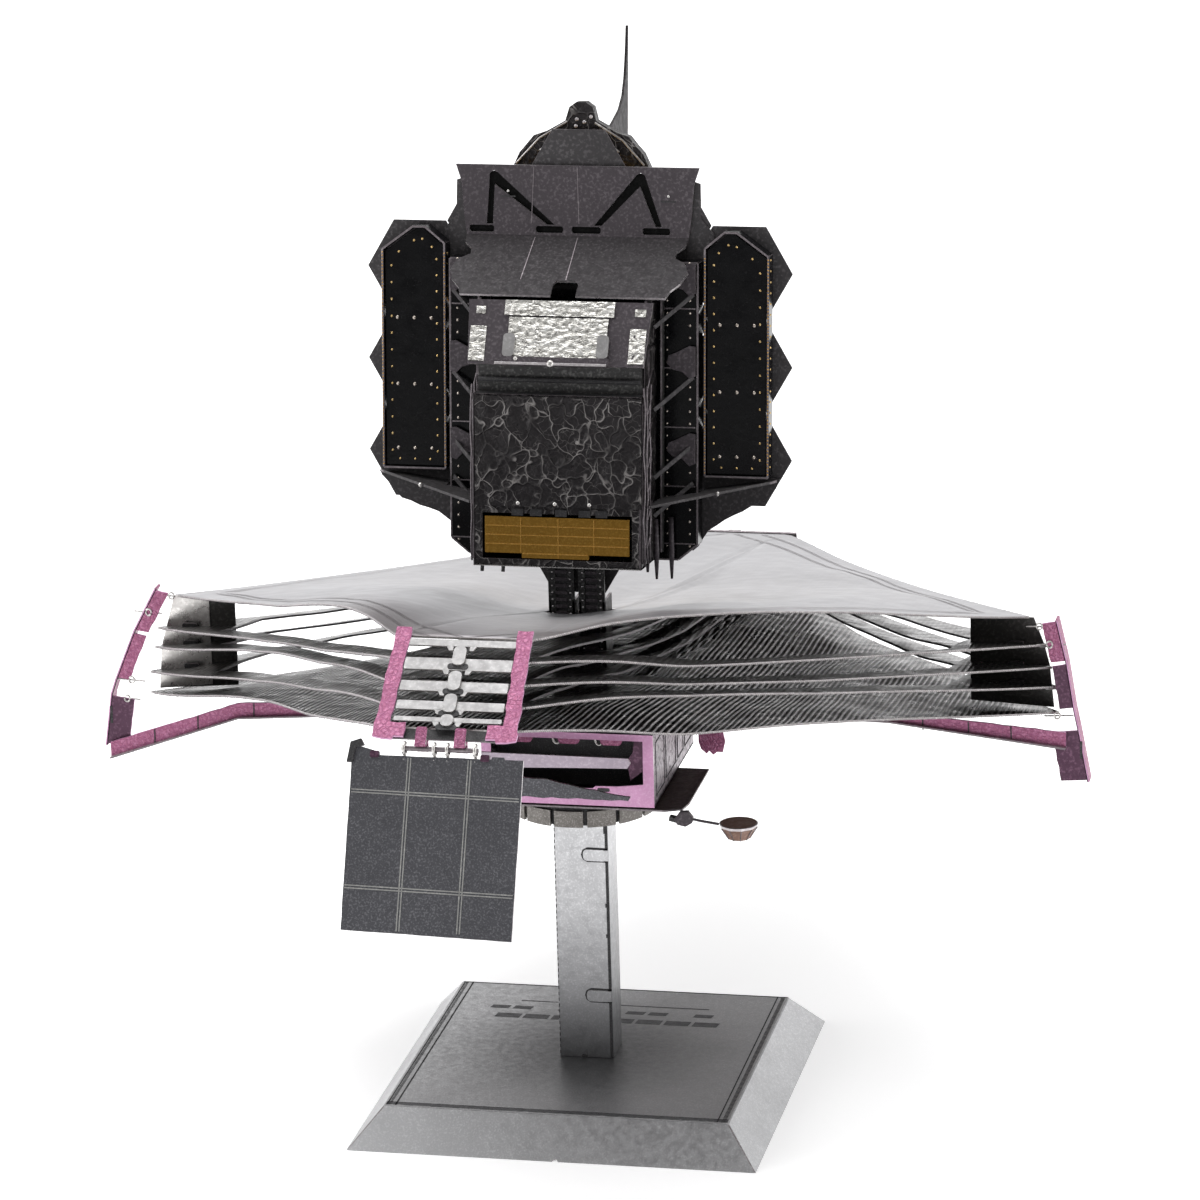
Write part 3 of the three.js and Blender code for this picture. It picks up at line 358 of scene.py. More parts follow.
GOLD_LINE = speckled("gold_line", (0.52, 0.28, 0.06), (0.8, 0.5, 0.16), 0.9, 0.3, 5.0, 0.5, 0.01)
RIVET = speckled("rivet_metal", (0.4, 0.35, 0.31), (0.75, 0.68, 0.6), 0.9, 0.25, 2.0, 0.5, 0.005)
RIVET_GOLD = speckled("rivet_gold", (0.55, 0.38, 0.16), (0.85, 0.65, 0.35), 0.9, 0.28, 2.0, 0.5, 0.005)


def pink_metal():
    """Pink tinted sheet with a leathery etched texture, with painted shade in its creases."""
    look = Look("pink_metal", (0.28, 0.085, 0.162), 0.5, 0.45)
    creases = look.cells(1.9, 0.9, (1, 1, 1))
    grains = look.noise(3.4, 4.0, 0.6)
    look.tint(look.ramp(grains, 0.42, 0.66, 0.0, 0.7), (0.44, 0.185, 0.3))
    # Painted shade: the creases are tinted dark plum.
    look.tint(look.ramp(creases, 0.0, 0.14, 0.5, 0.0), (0.2, 0.05, 0.13))
    look.rough(look.noise(1.0), 0.34, 0.5)
    look.relief(grains, 0.06)
    look.relief(look.ramp(creases, 0.0, 0.22, 0.0, 1.0), 0.03)
    return look.material


RIBS_PER_MM, RIB_LEAN = 0.47, -4.0
AFT_EDGE_SLOPE = -1.46


def film_metal(name, color, dark, rib_depth, amount, shade=0.0):
    """A sunshield sheet with fine fore-and-aft ribs, painted shade in the rib troughs and painted glints,
    and painted shade greying it along the aft edge if shade is given.
    """
    look = Look(name, color, 0.65 if shade else 0.85, 0.32)
    ribs = look.ribs(RIBS_PER_MM, RIB_LEAN)
    fine = look.noise(2.6, 4.0, 0.0, (1.0, 0.3, 1.0))
    look.tint(look.ramp(look.noise(0.05, 3.0), 0.4, 0.75, 0.0, 0.4), [c * 0.75 for c in color])
    # Painted shade in the rib troughs.
    look.tint(look.ramp(ribs, 0.3, 0.85, amount, 0.0), dark)
    # Painted glints: a fine streaky noise lightens the colour.
    look.tint(look.ramp(fine, 0.45, 0.7, 0.0, amount * 0.5), [c * 1.25 for c in color])
    # Painted shade: greyer along the aft edge, most towards the middle.
    if shade:
        across = look.node("ShaderNodeMath", operation="ABSOLUTE")
        look.link(look.along("X"), across.inputs[0])
        edge = look.node("ShaderNodeMath", operation="MULTIPLY_ADD")
        look.link(across.outputs[0], edge.inputs[0])
        edge.inputs[1].default_value = AFT_EDGE_SLOPE
        look.link(look.along("Y"), edge.inputs[2])
        near = look.ramp(edge.outputs[0], -68.0, -38.0, shade, 0.0)
        middle = look.ramp(across.outputs[0], 6.0, 42.0, 1.0, 0.1)
        cloudy = look.ramp(look.noise(0.09, 2.0), 0.3, 0.6, 0.45, 1.0)
        look.tint(look.times(look.times(near, middle), cloudy), (0.16, 0.14, 0.145))
        look.rough(look.noise(0.4, 3.0), 0.4, 0.52)
        look.relief(look.noise(0.15, 2.0), 0.02)
        return look.material
    look.rough(look.noise(0.4, 3.0), 0.24, 0.42)
    look.relief(ribs, rib_depth)
    look.relief(fine, 0.01)
    return look.material


def dark_foil():
    """Nearly black crumpled foil whose creases catch the light here and there."""
    look = Look("dark_foil", (0.012, 0.01, 0.011), 0.5, 0.36, 0.4)
    lit = look.ramp(look.noise(0.3, 2.0), 0.38, 0.6, 0.12, 1.0)
    for per_mm, warp, stretch, width, bright in (
        (0.42, 1.1, (1.0, 1.0, 0.85), 0.04, 0.6), (0.8, 0.9, (0.8, 1.0, 1.1), 0.03, 0.22),
    ):
        creases = look.ramp(look.cells(per_mm, warp, stretch, 0.6), 0.0, width, bright, 0.0)
        look.tint(look.times(creases, lit), (0.36, 0.34, 0.33))
    look.rough(look.noise(0.8), 0.26, 0.5)
    look.relief(look.ramp(look.cells(0.42, 1.1, (1.0, 1.0, 0.85), 0.6), 0.0, 0.1, 1.0, 0.0), 0.16)
    look.relief(look.noise(1.3, 5.0, 1.4), 0.22)
    return look.material


def bright_foil():
    """Crinkled silver foil with soft, wavy creases: painted shade in the creases and wave troughs, painted
    highlights on the wave crests.
    """
    look = Look("bright_foil", (0.6, 0.59, 0.56), 0.85, 0.3)
    waves = look.noise(1.1, 3.0, 1.6, (0.75, 1.0, 1.7))
    # Painted shade in the wave troughs and creases.
    look.tint(look.ramp(waves, 0.4, 0.52, 0.5, 0.0), (0.26, 0.25, 0.23))
    look.tint(look.ramp(look.cells(1.1, 1.6, (0.6, 1.0, 1.5)), 0.0, 0.06, 0.8, 0.0), (0.1, 0.09, 0.08))
    # Painted highlights on the wave crests.
    look.tint(look.ramp(waves, 0.56, 0.66, 0.0, 0.6), (0.85, 0.84, 0.82))
    look.rough(look.noise(1.2), 0.2, 0.4)
    look.relief(waves, 0.16)
    return look.material


def gloss_black():
    """Polished black sheet."""
    look = Look("gloss_black", (0.003, 0.003, 0.0035), 0.0, 0.16, 0.12)
    look.tint(look.ramp(look.noise(3.5, 4.0), 0.6, 0.76, 0.0, 0.3), (0.035, 0.035, 0.036))
    look.rough(look.noise(0.5, 4.0), 0.1, 0.26)
    look.relief(look.noise(1.1, 3.0), 0.01)
    return look.material


def gold_plate():
    """Gold tinted louvre sheet."""
    look = Look("gold_plate", (0.24, 0.125, 0.015), 0.75, 0.36)
    look.tint(look.ramp(look.noise(5.0, 3.0), 0.45, 0.7, 0.0, 0.5), (0.42, 0.24, 0.05))
    look.rough(look.noise(1.2), 0.3, 0.46)
    look.relief(look.noise(5.0, 3.0), 0.015)
    return look.material


def mirror_gold():
    """The polished gilt face of a mirror segment."""
    look = Look("mirror_gold", (0.83, 0.5, 0.11), 1.0, 0.09)
    look.tint(look.ramp(look.noise(0.3, 3.0), 0.4, 0.7, 0.0, 0.3), (0.93, 0.62, 0.2))
    look.rough(look.noise(0.7, 3.0), 0.06, 0.16)
    look.relief(look.noise(0.35, 2.0), 0.02)
    return look.material


def crinkled_wall():
    """The grey etched side of the bus: wavy panel relief."""
    look = Look("crinkled_wall", (0.36, 0.32, 0.345), 0.75, 0.42)
    creases = look.cells(0.75, 1.0, (1, 1.6, 0.8))
    look.tint(look.ramp(creases, 0.0, 0.12, 0.75, 0.0), (0.03, 0.028, 0.03))
    look.tint(look.ramp(look.noise(2.4, 4.0), 0.5, 0.7, 0.0, 0.5), (0.58, 0.54, 0.57))
    look.relief(look.ramp(creases, 0.0, 0.2, 0.0, 1.0), 0.12)
    return look.material


PINK = pink_metal()
FILM_TOP = film_metal("film_top", (0.4, 0.395, 0.41), (0.3, 0.29, 0.3), 0.006, 0.06, 0.9)
# Darker copies of the top film: painted shade for the lower layers and the undersides; the bow rack also
# takes the strip film.
FILM_STRIP = film_metal("film_strip", (0.21, 0.2, 0.2), (0.07, 0.06, 0.06), 0.05, 0.5)
FILM_RIBBED = film_metal("film_ribbed", (0.11, 0.092, 0.092), (0.008, 0.006, 0.006), 0.3, 1.0)
FILM_UNDER = film_metal("film_under", (0.06, 0.05, 0.05), (0.02, 0.016, 0.016), 0.05, 0.6)
DARK_FOIL = dark_foil()
BRIGHT_FOIL = bright_foil()
GLOSS = gloss_black()
GOLD = gold_plate()
MIRROR = mirror_gold()
WALL = crinkled_wall()
WHITE_EDGE = speckled("lit_edge", (0.62, 0.6, 0.58), (0.86, 0.84, 0.82), 0.9, 0.3, 2.5, 0.5, 0.006)


# ---------------------------------------------------------------- building pieces

class Piece:
    """Gathers thin sheets, bars and small forms into one mesh."""

    def __init__(self, name, placing=HERE):
        self.name = name
        self.placing = placing
        self.bm = bmesh.new()
        self.looks = []

    def look(self, material):
        if material not in self.looks:
            self.looks.append(material)
        return self.looks.index(material)

    def face(self, corners, material, smooth=False):
        made = self.bm.faces.new(corners)
        made.material_index = self.look(material)
        made.smooth = smooth
        return made

    def point(self, p, placing=HERE):
        return self.bm.verts.new(self.placing @ placing @ Vector(p))

    def sheet(self, outline, thickness, placing, material, edge=None, holes=(), back=None):
        """A flat plate, centred on its placing's plane, with cut edges of their own finish."""
        loops = [outline, *holes]
        flat = [[Vector((x, y, 0)) for x, y in loop] for loop in loops]
        triangles = tessellate_polygon(flat)
        points = [p for loop in flat for p in loop]
        half = thickness / 2
        top = [self.point((p.x, p.y, half), placing) for p in points]
        low = [self.point((p.x, p.y, -half), placing) for p in points]
        made = []
        for a, b, c in triangles:
            made.append(self.face((top[a], top[b], top[c]), material))
            made.append(self.face((low[c], low[b], low[a]), back or material))
        start = 0
        for loop in loops:
            count = len(loop)
            for k in range(count):
                a, b = start + k, start + (k + 1) % count
                made.append(self.face((top[a], top[b], low[b], low[a]), edge or material))
            start += count
        bmesh.ops.recalc_face_normals(self.bm, faces=made)
        return self

    def bar(self, start, end, width, depth, material, up=(0, 0, 1)):
        run = Vector(end) - Vector(start)
        return self.sheet(rect(0, -width / 2, run.length, width / 2), depth,
                          frame_at(start, run, up), material)

    def grid(self, rows, material):
        """A smooth surface through rows of points."""
        for low, high in zip(rows, rows[1:]):
            for c in range(len(low) - 1):
                self.face((low[c], low[c + 1], high[c + 1], high[c]), material, True)
        return self

    def rod(self, path, radius, material, sides=8):
        """A round wire along a path."""
        points = [Vector(p) for p in path]
        rings = []
        for k, p in enumerate(points):
            ahead = points[min(k + 1, len(points) - 1)] - points[max(k - 1, 0)]
            side = ahead.orthogonal().normalized() if abs(ahead.normalized().z) > 0.9 else \
                ahead.cross(Vector((0, 0, 1))).normalized()
            other = ahead.cross(side).normalized()
            size = radius[k] if isinstance(radius, (list, tuple)) else radius
            rings.append([
                self.point(p + side * size * math.cos(a) + other * size * math.sin(a))
                for a in turns(sides)
            ])
        made = []
        for ring, following in zip(rings, rings[1:]):
            for n in range(sides):
                m = (n + 1) % sides
                made.append(self.face((ring[n], ring[m], following[m], following[n]), material, True))
        made.append(self.face(rings[0], material))
        made.append(self.face(rings[-1], material))
        bmesh.ops.recalc_face_normals(self.bm, faces=made)
        return self

    def lathe(self, profile, sides, centre, material, smooth=True, cap=None):
        """A form turned about the vertical through centre."""
        rings = []
        for radius, height in profile:
            rings.append([
                self.point((centre[0] + radius * math.cos(a), centre[1] + radius * math.sin(a), height))
                for a in turns(sides)
            ])
        for k, (ring, following) in enumerate(zip(rings, rings[1:])):
            finish = material[k] if isinstance(material, (list, tuple)) else material
            for n in range(sides):
                m = (n + 1) % sides
                self.face((ring[n], ring[m], following[m], following[n]), finish, smooth)
        if cap:
            self.face(list(reversed(rings[0])), cap)
            self.face(rings[-1], cap)
        return self

    def turned(self, profile, looks, sides):
        """A form turned about the optical axis, from its first ring to its last."""
        rings = [
            [self.point((r * math.cos(a), y, r * math.sin(a))) for a in turns(sides)]
            for r, y in profile
        ]
        for ring, following, look in zip(rings, rings[1:], looks):
            for n in range(sides):
                m = (n + 1) % sides
                self.face((ring[n], following[n], following[m], ring[m]), look, True)
        return rings

    def dome(self, centre, radius, outward, material, rise=0.6, sides=8):
        """A rivet's head."""
        place = frame_at(centre, Vector(outward).orthogonal(),
                         Vector(outward).cross(Vector(outward).orthogonal()))
        rings = []
        for part in (0.0, 0.55):
            r, h = radius * math.cos(part * math.pi / 2), radius * rise * math.sin(part * math.pi / 2)
            rings.append([
                self.point((r * math.cos(a), r * math.sin(a), h), place)
                for a in turns(sides)
            ])
        tip = self.point((0, 0, radius * rise), place)
        for n in range(sides):
            m = (n + 1) % sides
            self.face((rings[0][n], rings[0][m], rings[1][m], rings[1][n]), material, True)
            self.face((rings[1][n], rings[1][m], tip), material, True)
        return self

    def make(self):
        """The gathered mesh as an object, in metres."""
        mesh = bpy.data.meshes.new(self.name)
        bmesh.ops.scale(self.bm, vec=(MM, MM, MM), verts=self.bm.verts)
        self.bm.to_mesh(mesh)
        self.bm.free()
        for material in self.looks:
            mesh.materials.append(material)
        made = bpy.data.objects.new(self.name, mesh)
        bpy.context.scene.collection.objects.link(made)
        return made

    def done(self, body="root", replaces=(), slot=None, bevel=0.0):
        """Makes the object, rounds its edges and ties it to the frame."""
        made = self.make()
        if bevel:
            rounding = made.modifiers.new("edge", "BEVEL")
            rounding.width = bevel * MM
            rounding.segments = 2
            rounding.limit_method = "ANGLE"
            rounding.angle_limit = math.radians(40)
        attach(made, body)
        if replaces:
            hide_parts(*replaces)


def finish_node(node, material):
    """Gives a CAD node that stays in view its own material."""
    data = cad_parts[node].data
    data.materials.clear()
    data.materials.append(material)


# ---------------------------------------------------------------- base

def build_base():
    """The folded base cover, its fold lines and its etched bars."""
    piece = Piece("base_shell")
    bottom, top, height = BASE_BOTTOM, BASE_TOP, BASE_HEIGHT
    piece.sheet(rect(-top, -top, top, top), SHEET, level(height - SHEET / 2), STEEL, STEEL)
    run = bottom - top
    slope = math.hypot(run, height)
    seam = 0.12
    bevel = [(-bottom + seam, 0), (bottom - seam, 0),
             (top - seam, slope - 0.1), (-top + seam, slope - 0.1)]
    nick = [(1.0, 0), (0.8, 0.35), (0.45, 0.3), (0.3, 0)]
    rear_bevel = [bevel[0], *sorted(nick), *bevel[1:]]
    for quarter in range(4):
        turn = Matrix.Rotation(math.radians(90 * quarter), 4, "Z")
        place = turn @ frame_at((0, -bottom, 0), (1, 0, 0), (0, run, height))
        place = lifted(place, -SHEET / 2)
        piece.sheet(rear_bevel if quarter == 0 else bevel, SHEET, place, STEEL, CUT_EDGE)
    piece.done(replaces=["base_cover"], slot="etched_steel", bevel=0.05)

    lines = Piece("base_fold_lines")
    surface = level(height + 0.012)
    skin = 0.02
    inset = top - 0.15
    for x, width in ((-top + 0.3, 0.16), (-top + 1.35, 0.2), (top - 1.35, 0.16)):
        lines.sheet(rect(x - width / 2, -inset, x + width / 2, inset), skin, surface, DARK_GROOVE_AND_SHADE)
    lines.sheet(rect(-inset, top - 0.35, inset, top - 0.2), skin, surface, DARK_GROOVE_AND_SHADE)
    lines.sheet(ragged(rect(-inset, -top + 0.25, inset, -top + 0.95), 0.35, 0.16, 4), skin, surface, ETCH)
    lines.sheet(rect(-inset, -top + 0.98, inset, -top + 1.08), skin, surface, DARK_GROOVE_AND_SHADE)
    pitch = 0.42
    count = int(2 * inset / pitch)
    for k in range(count):
        y = -inset + k * pitch
        slant = 0.16
        for x, width in ((top - 0.62, 0.5), (-top + 0.62, 0.34)):
            tooth = [(x - width / 2, y), (x + width / 2, y + slant),
                     (x + width / 2, y + slant + 0.17), (x - width / 2, y + 0.17)]
            lines.sheet(tooth, skin, surface, DARK_GROOVE_AND_SHADE)
    lines.done(slot="etched_steel")

    marks = Piece("base_etched_bars")
    rows = [(12.3, 0.95, 2.3, 0.55, 1.0), (9.3, 1.35, 3.1, 0.45, 2.2)]
    for y, tall, wide, gap, margin in rows:
        x = -16.4 + margin
        k = 0
        while x + wide < 16.4 - margin:
            lean = 0.2
            outline = [(x, y), (x + wide, y), (x + wide + lean, y + tall), (x + lean, y + tall)]
            if k % 3 != 2 or tall > 1:
                marks.sheet(outline, skin, surface, ETCH)
            x += wide + gap
            k += 1
    marks.sheet(rect(-12.0, 15.0, 11.8, 15.22), skin, surface, ETCH)
    marks.done(slot="etched_steel")


# ---------------------------------------------------------------- post and ring

def build_post():
    """The square post with its seam and its two bent tabs."""
    piece = Piece("post_shell")
    foot = BASE_HEIGHT + 0.02
    middle = level((POST_TOP + foot) / 2)
    wall = 0.35
    x, y = POST_X, POST_Y
    seam = 0.22
    channel = [(-x, y), (-x, -y), (x - seam, -y), (x - seam, -y + wall), (-x + wall, -y + wall),
               (-x + wall, y)]
    piece.sheet(channel, POST_TOP - foot, middle, POST_STEEL, POST_STEEL)
    side = rect(x - wall, -y + 0.34, x, y)
    piece.sheet(side, POST_TOP - foot, middle, POST_STEEL, POST_STEEL)
    piece.sheet(rect(-x, y - wall, x - wall, y), POST_TOP - foot, middle, POST_STEEL)
    piece.sheet(rect(x - seam - 0.05, -y + 0.1, x - 0.02, -y + 0.3), POST_TOP - foot - 0.4, middle, DARK_GROOVE_AND_SHADE)
    piece.done(replaces=["post_channel", "post_face"], slot="etched_steel", bevel=0.06)

    trim = Piece("post_tabs")
    face = upright(-y - 0.03)
    for z in (30.6, 12.6):
        hollow = [(x + 0.04, z + 0.92), (0.75, z + 0.92), (0.2, z + 0.6), (0.0, z),
                  (0.2, z - 0.6), (0.75, z - 0.92), (x + 0.04, z - 0.92)]
        tab = rounded(0.3, z - 0.72, x - 0.1, z + 0.72, 0.5)
        trim.sheet(hollow, 0.04, face, DARK_GROOVE_AND_SHADE)
        trim.sheet(tab, 0.2, upright(-y - 0.12), POST_STEEL, CUT_EDGE)
        trim.sheet(rect(x - 0.35, z - 0.68, x + 0.02, z + 0.68), 0.3, upright(-y - 0.05), POST_STEEL)
    for z, tall in ((34.4, 2.1), (24.2, 0.5), (20.3, 0.5)):
        trim.sheet(rect(x - 0.48, z - tall / 2, x - 0.1, z + tall / 2), 0.05, face, DARK_GROOVE_AND_SHADE)
    trim.sheet(rounded(-0.6, BASE_HEIGHT + 0.05, 0.1, BASE_HEIGHT + 0.4, 0.12), 0.1, face, DARK_GROOVE_AND_SHADE)
    trim.sheet(rect(x - 0.34, foot + 0.1, x - 0.06, POST_TOP - 0.1), 0.04, face, DARK_GROOVE_AND_SHADE)
    dash = 0.75
    for k in range(int((POST_TOP - foot) / dash) - 1):
        z = foot + 0.4 + k * dash
        trim.sheet(rect(-x + 0.04, z, -x + 0.14, z + dash * 0.55), 0.04, face, DARK_GROOVE_AND_SHADE)
    trim.done(replaces=["post_tab_upper", "post_tab_lower"], slot="etched_steel", bevel=0.03)


def build_ring():
    """The ring of fourteen bent segments under the bus."""
    piece = Piece("ring_segments")
    count = 14
    gap = math.radians(1.6)
    steps = 5
    for k in range(count):
        a0, a1 = math.tau * k / count + gap, math.tau * (k + 1) / count - gap
        angles = [a0 + (a1 - a0) * n / steps for n in range(steps + 1)]
        outline = [(RING_RADIUS * math.cos(a), RING_RADIUS * math.sin(a)) for a in angles]
        outline += [((RING_RADIUS - 0.35) * math.cos(a), (RING_RADIUS - 0.35) * math.sin(a))
                    for a in reversed(angles)]
        piece.sheet(outline, RING_HIGH - RING_LOW - 0.1, level((RING_HIGH + RING_LOW) / 2 - 0.05),
                    RING_STEEL,
                    RING_STEEL)
    piece.lathe([(8.5, RING_LOW + 0.1), (8.5, RING_HIGH + 0.2), (8.2, RING_HIGH + 0.2),
                 (8.2, RING_LOW + 0.1)],
                56, (0, 0), DARK_GROOVE_AND_SHADE)
    piece.done(replaces=["adapter_ring"], slot="etched_steel", bevel=0.05)


# ---------------------------------------------------------------- bus

def bus_top(y):
    """The height of the bus's sloping top edge."""
    t = (y - BUS_REAR) / (BUS_FRONT - BUS_REAR)
    return BUS_REAR_TOP + (BUS_FRONT_TOP - BUS_REAR_TOP) * t


def build_bus():
    """The open box under the sunshield, the plate below it and the leaf at its side."""
    x, rear, front, floor = BUS_X, BUS_REAR, BUS_FRONT, BUS_FLOOR
    walls = Piece("bus_walls")
    wall = [(rear + 0.1, floor), (front, floor), (front, bus_top(front)), (rear + 0.1, bus_top(rear))]
    for sign in (1, -1):
        walls.sheet(wall, SHEET, sideways(sign * (x - SHEET / 2)), WALL, CUT_EDGE, back=DARK_GROOVE_AND_SHADE)
        face = sideways(sign * (x + 0.03))
        for y0, z0, y1, z1 in ((-7.4, 40.1, -2.4, 46.6), (-1.4, 40.3, 4.6, 46.2), (5.8, 40.4, 9.2, 43.4),
                               (10.2, 40.4, 14.6, 45.3)):
            for part in (rect(y0, z0, y1, z0 + 0.14), rect(y0, z1, y1, z1 + 0.14),
                         rect(y0, z0, y0 + 0.14, z1), rect(y1, z0, y1 + 0.14, z1)):
                walls.sheet(part, 0.08, face, DARK_GROOVE_AND_SHADE)
    walls.sheet(rect(-x, floor, x, bus_top(front)), SHEET, upright(front - SHEET / 2), WALL, CUT_EDGE)
    walls.sheet(rect(-x, rear + 0.1, x, front), SHEET, level(floor + SHEET / 2), PLUM, DIM_EDGE)
    walls.done(replaces=["bus_shell"], slot="slate_plate", bevel=0.04)

    rim = Piece("bus_opening_rim")
    low, high = floor + 2.45, BUS_REAR_TOP - 0.8
    opening = [
        (-x + 1.2, low), (-8.6, low), (-8.5, low - 0.35), (-7.3, low - 0.35), (-7.2, low), (-4.8, low),
        (-4.7, low - 0.4), (-3.2, low - 0.4), (-3.1, low + 0.05), (0.2, low + 0.02), (0.3, low - 0.35),
        (3.0, low - 0.3), (3.3, low), (6.0, low + 0.05), (x - 1.3, low + 0.4), (x - 1.25, high),
        (-x + 1.2, high),
    ]
    rim.sheet(rect(-x, floor, x, BUS_REAR_TOP), SHEET, upright(rear), LILAC, CUT_EDGE, [opening])
    for cx, cz in ((-8.2, floor + 1.55), (-0.9, floor + 2.05), (4.3, floor + 2.0)):
        rim.sheet(rounded(cx - 0.75, cz - 0.22, cx + 0.75, cz + 0.22, 0.2), 0.06,
                  upright(rear - SHEET / 2 - 0.02),
                  DARK_GROOVE_AND_SHADE)
    rim.done(replaces=["bus_rear_frame"], slot="lilac_metal", bevel=0.04)

    inside = Piece("bus_inner_shelves")
    lean = frame_at((0, rear + 1.3, 0), (1, 0, 0), (0, -0.12, 1))
    upper = [(-9.4, 44.95), (2.4, 45.35), (8.1, 45.5), (8.5, 46.2), (8.2, 46.8), (-9.4, 46.9)]
    lower = [(-9.4, 41.3), (8.0, 41.3), (8.3, 41.8), (3.0, 42.6), (-2.2, 43.75), (-9.4, 44.0)]
    inside.sheet(upper, THIN, lean, LAVENDER, WHITE_EDGE)
    inside.sheet(ragged(lower, 1.0, 0.2, 9), THIN, lean, SLATE, WHITE_EDGE)
    bent = [(7.4, 42.0), (8.9, 43.2), (9.1, 47.0), (8.0, 47.2), (7.7, 45.4), (7.0, 44.4)]
    inside.sheet(bent, SHEET, upright(rear + 0.9), PLUM, DIM_EDGE)
    for cx in (-5.6, 0.1, 5.2):
        tab = rounded(cx - 1.3, 46.35, cx + 1.3, 47.65, 0.5)
        inside.sheet(tab, 0.5, upright(rear + 0.75), PINK, PINK)
        inside.rod([(cx - 1.45 + 0.45 * math.cos(a), rear + 0.55, 47.0 + 0.65 * math.sin(a))
                    for a in (math.pi * (0.4 + 1.3 * k / 8) for k in range(9))], 0.13, WHITE_EDGE)
    # A dark plate inside the box: painted shade, seen through the opening behind the shelves.
    inside.sheet(rect(-9.9, 39.5, 9.9, 47.4), SHEET, upright(rear + 6.0), DARK_GROOVE_AND_SHADE)
    inside.done(replaces=["bus_shelf_upper", "bus_shelf_lower"], slot="lilac_metal", bevel=0.05)

    finish_node("bus_deck", PLUM)

    under = Piece("underside_plate")
    z = 38.65
    half, back, ahead = 14.0, -8.6, 7.1
    outline = [
        (half - 2.4, back), (half - 0.4, back + 0.9), (half, back + 3.0), (half, ahead), (-half, ahead),
        (-half, back + 3.0), (-half + 0.4, back + 0.9), (-half + 2.4, back),
    ]
    under.sheet(outline, THIN, level(z), UNDER_BROWN, DIM_EDGE)
    for sx in range(-2, 3):
        under.sheet(rect(sx * 5.2 - 0.07, back + 1.2, sx * 5.2 + 0.07, ahead - 0.4), 0.05,
                    level(z - THIN / 2 - 0.02),
                    FLAP_LINE)
    for sy in (-4.4, 0.4, 4.0):
        under.sheet(rect(-half + 0.5, sy - 0.07, half - 0.5, sy + 0.07), 0.05,
                    level(z - THIN / 2 - 0.02), FLAP_LINE)
    under.done(replaces=["solar_panel"], slot="grey_plate", bevel=0.03)

    tab = Piece("side_tab_leaf")
    outline = [(12.2, 47.2), (12.2, 41.2), (12.5, 40.3), (13.2, 39.7), (13.5, 40.1), (14.0, 39.6),
               (14.5, 40.0),
               (15.2, 40.0), (15.5, 41.4), (15.2, 42.8), (15.7, 43.6), (15.5, 47.2)]
    tab.sheet(outline, THIN, upright(10.0), PINK, PINK)
    tab.done(replaces=["side_tab"], slot="pink_metal", bevel=0.04)


def build_antenna():
    """The arm and its faceted dish."""
    arm = Piece("antenna_arm")
    lug = [(12.9, 38.0), (13.3, 37.4), (14.3, 37.2), (15.1, 37.7), (15.2, 38.3), (14.6, 39.1),
           (13.6, 39.0)]
    arm.sheet(lug, 0.7, upright(-9.4), PLATE_GREY, DIM_EDGE)
    arm.sheet([(12.2, 37.75), (13.2, 37.5), (13.4, 38.1), (12.3, 38.3)], 0.9, upright(-9.0), DARK_GROOVE_AND_SHADE)
    arm.rod([(15.0, -9.5, 38.15), (16.2, -9.8, 38.05), (18.4, -10.2, 37.9)], 0.17, PLATE_GREY)
    arm.done(replaces=["antenna_bracket", "antenna_boom"], slot="slate_plate", bevel=0.08)

    dish = Piece("antenna_dish_bowl")
    centre = (20.8, -10.4)
    sides = 10
    outer = [(1.15, 36.4), (1.3, 36.4), (1.95, 37.55), (2.25, 37.9), (2.28, 38.22)]
    inner = [(2.28, 38.22), (2.12, 38.26), (1.3, 37.98), (0.02, 37.9)]
    dish.lathe(outer, sides, centre, [DISH_BROWN, DISH_BROWN, DISH_BROWN, CUT_EDGE], False, DISH_BROWN)
    dish.lathe(inner, 28, centre, [CUT_EDGE, DISH_BROWN, DISH_BROWN], False)
    for k in range(sides):
        a = math.tau * k / sides
        foot = (centre[0] + 1.3 * math.cos(a), centre[1] + 1.3 * math.sin(a), 36.4)
        top = (centre[0] + 2.24 * math.cos(a), centre[1] + 2.24 * math.sin(a), 37.85)
        dish.rod([foot, top], 0.06, DIM_EDGE, 5)
    dish.done(replaces=["antenna_dish"], slot="grey_plate")


# ---------------------------------------------------------------- tail frame and flap

TAIL = frame_at(TAIL_HEAD, (1, 0, 0), -TAIL_RUN)


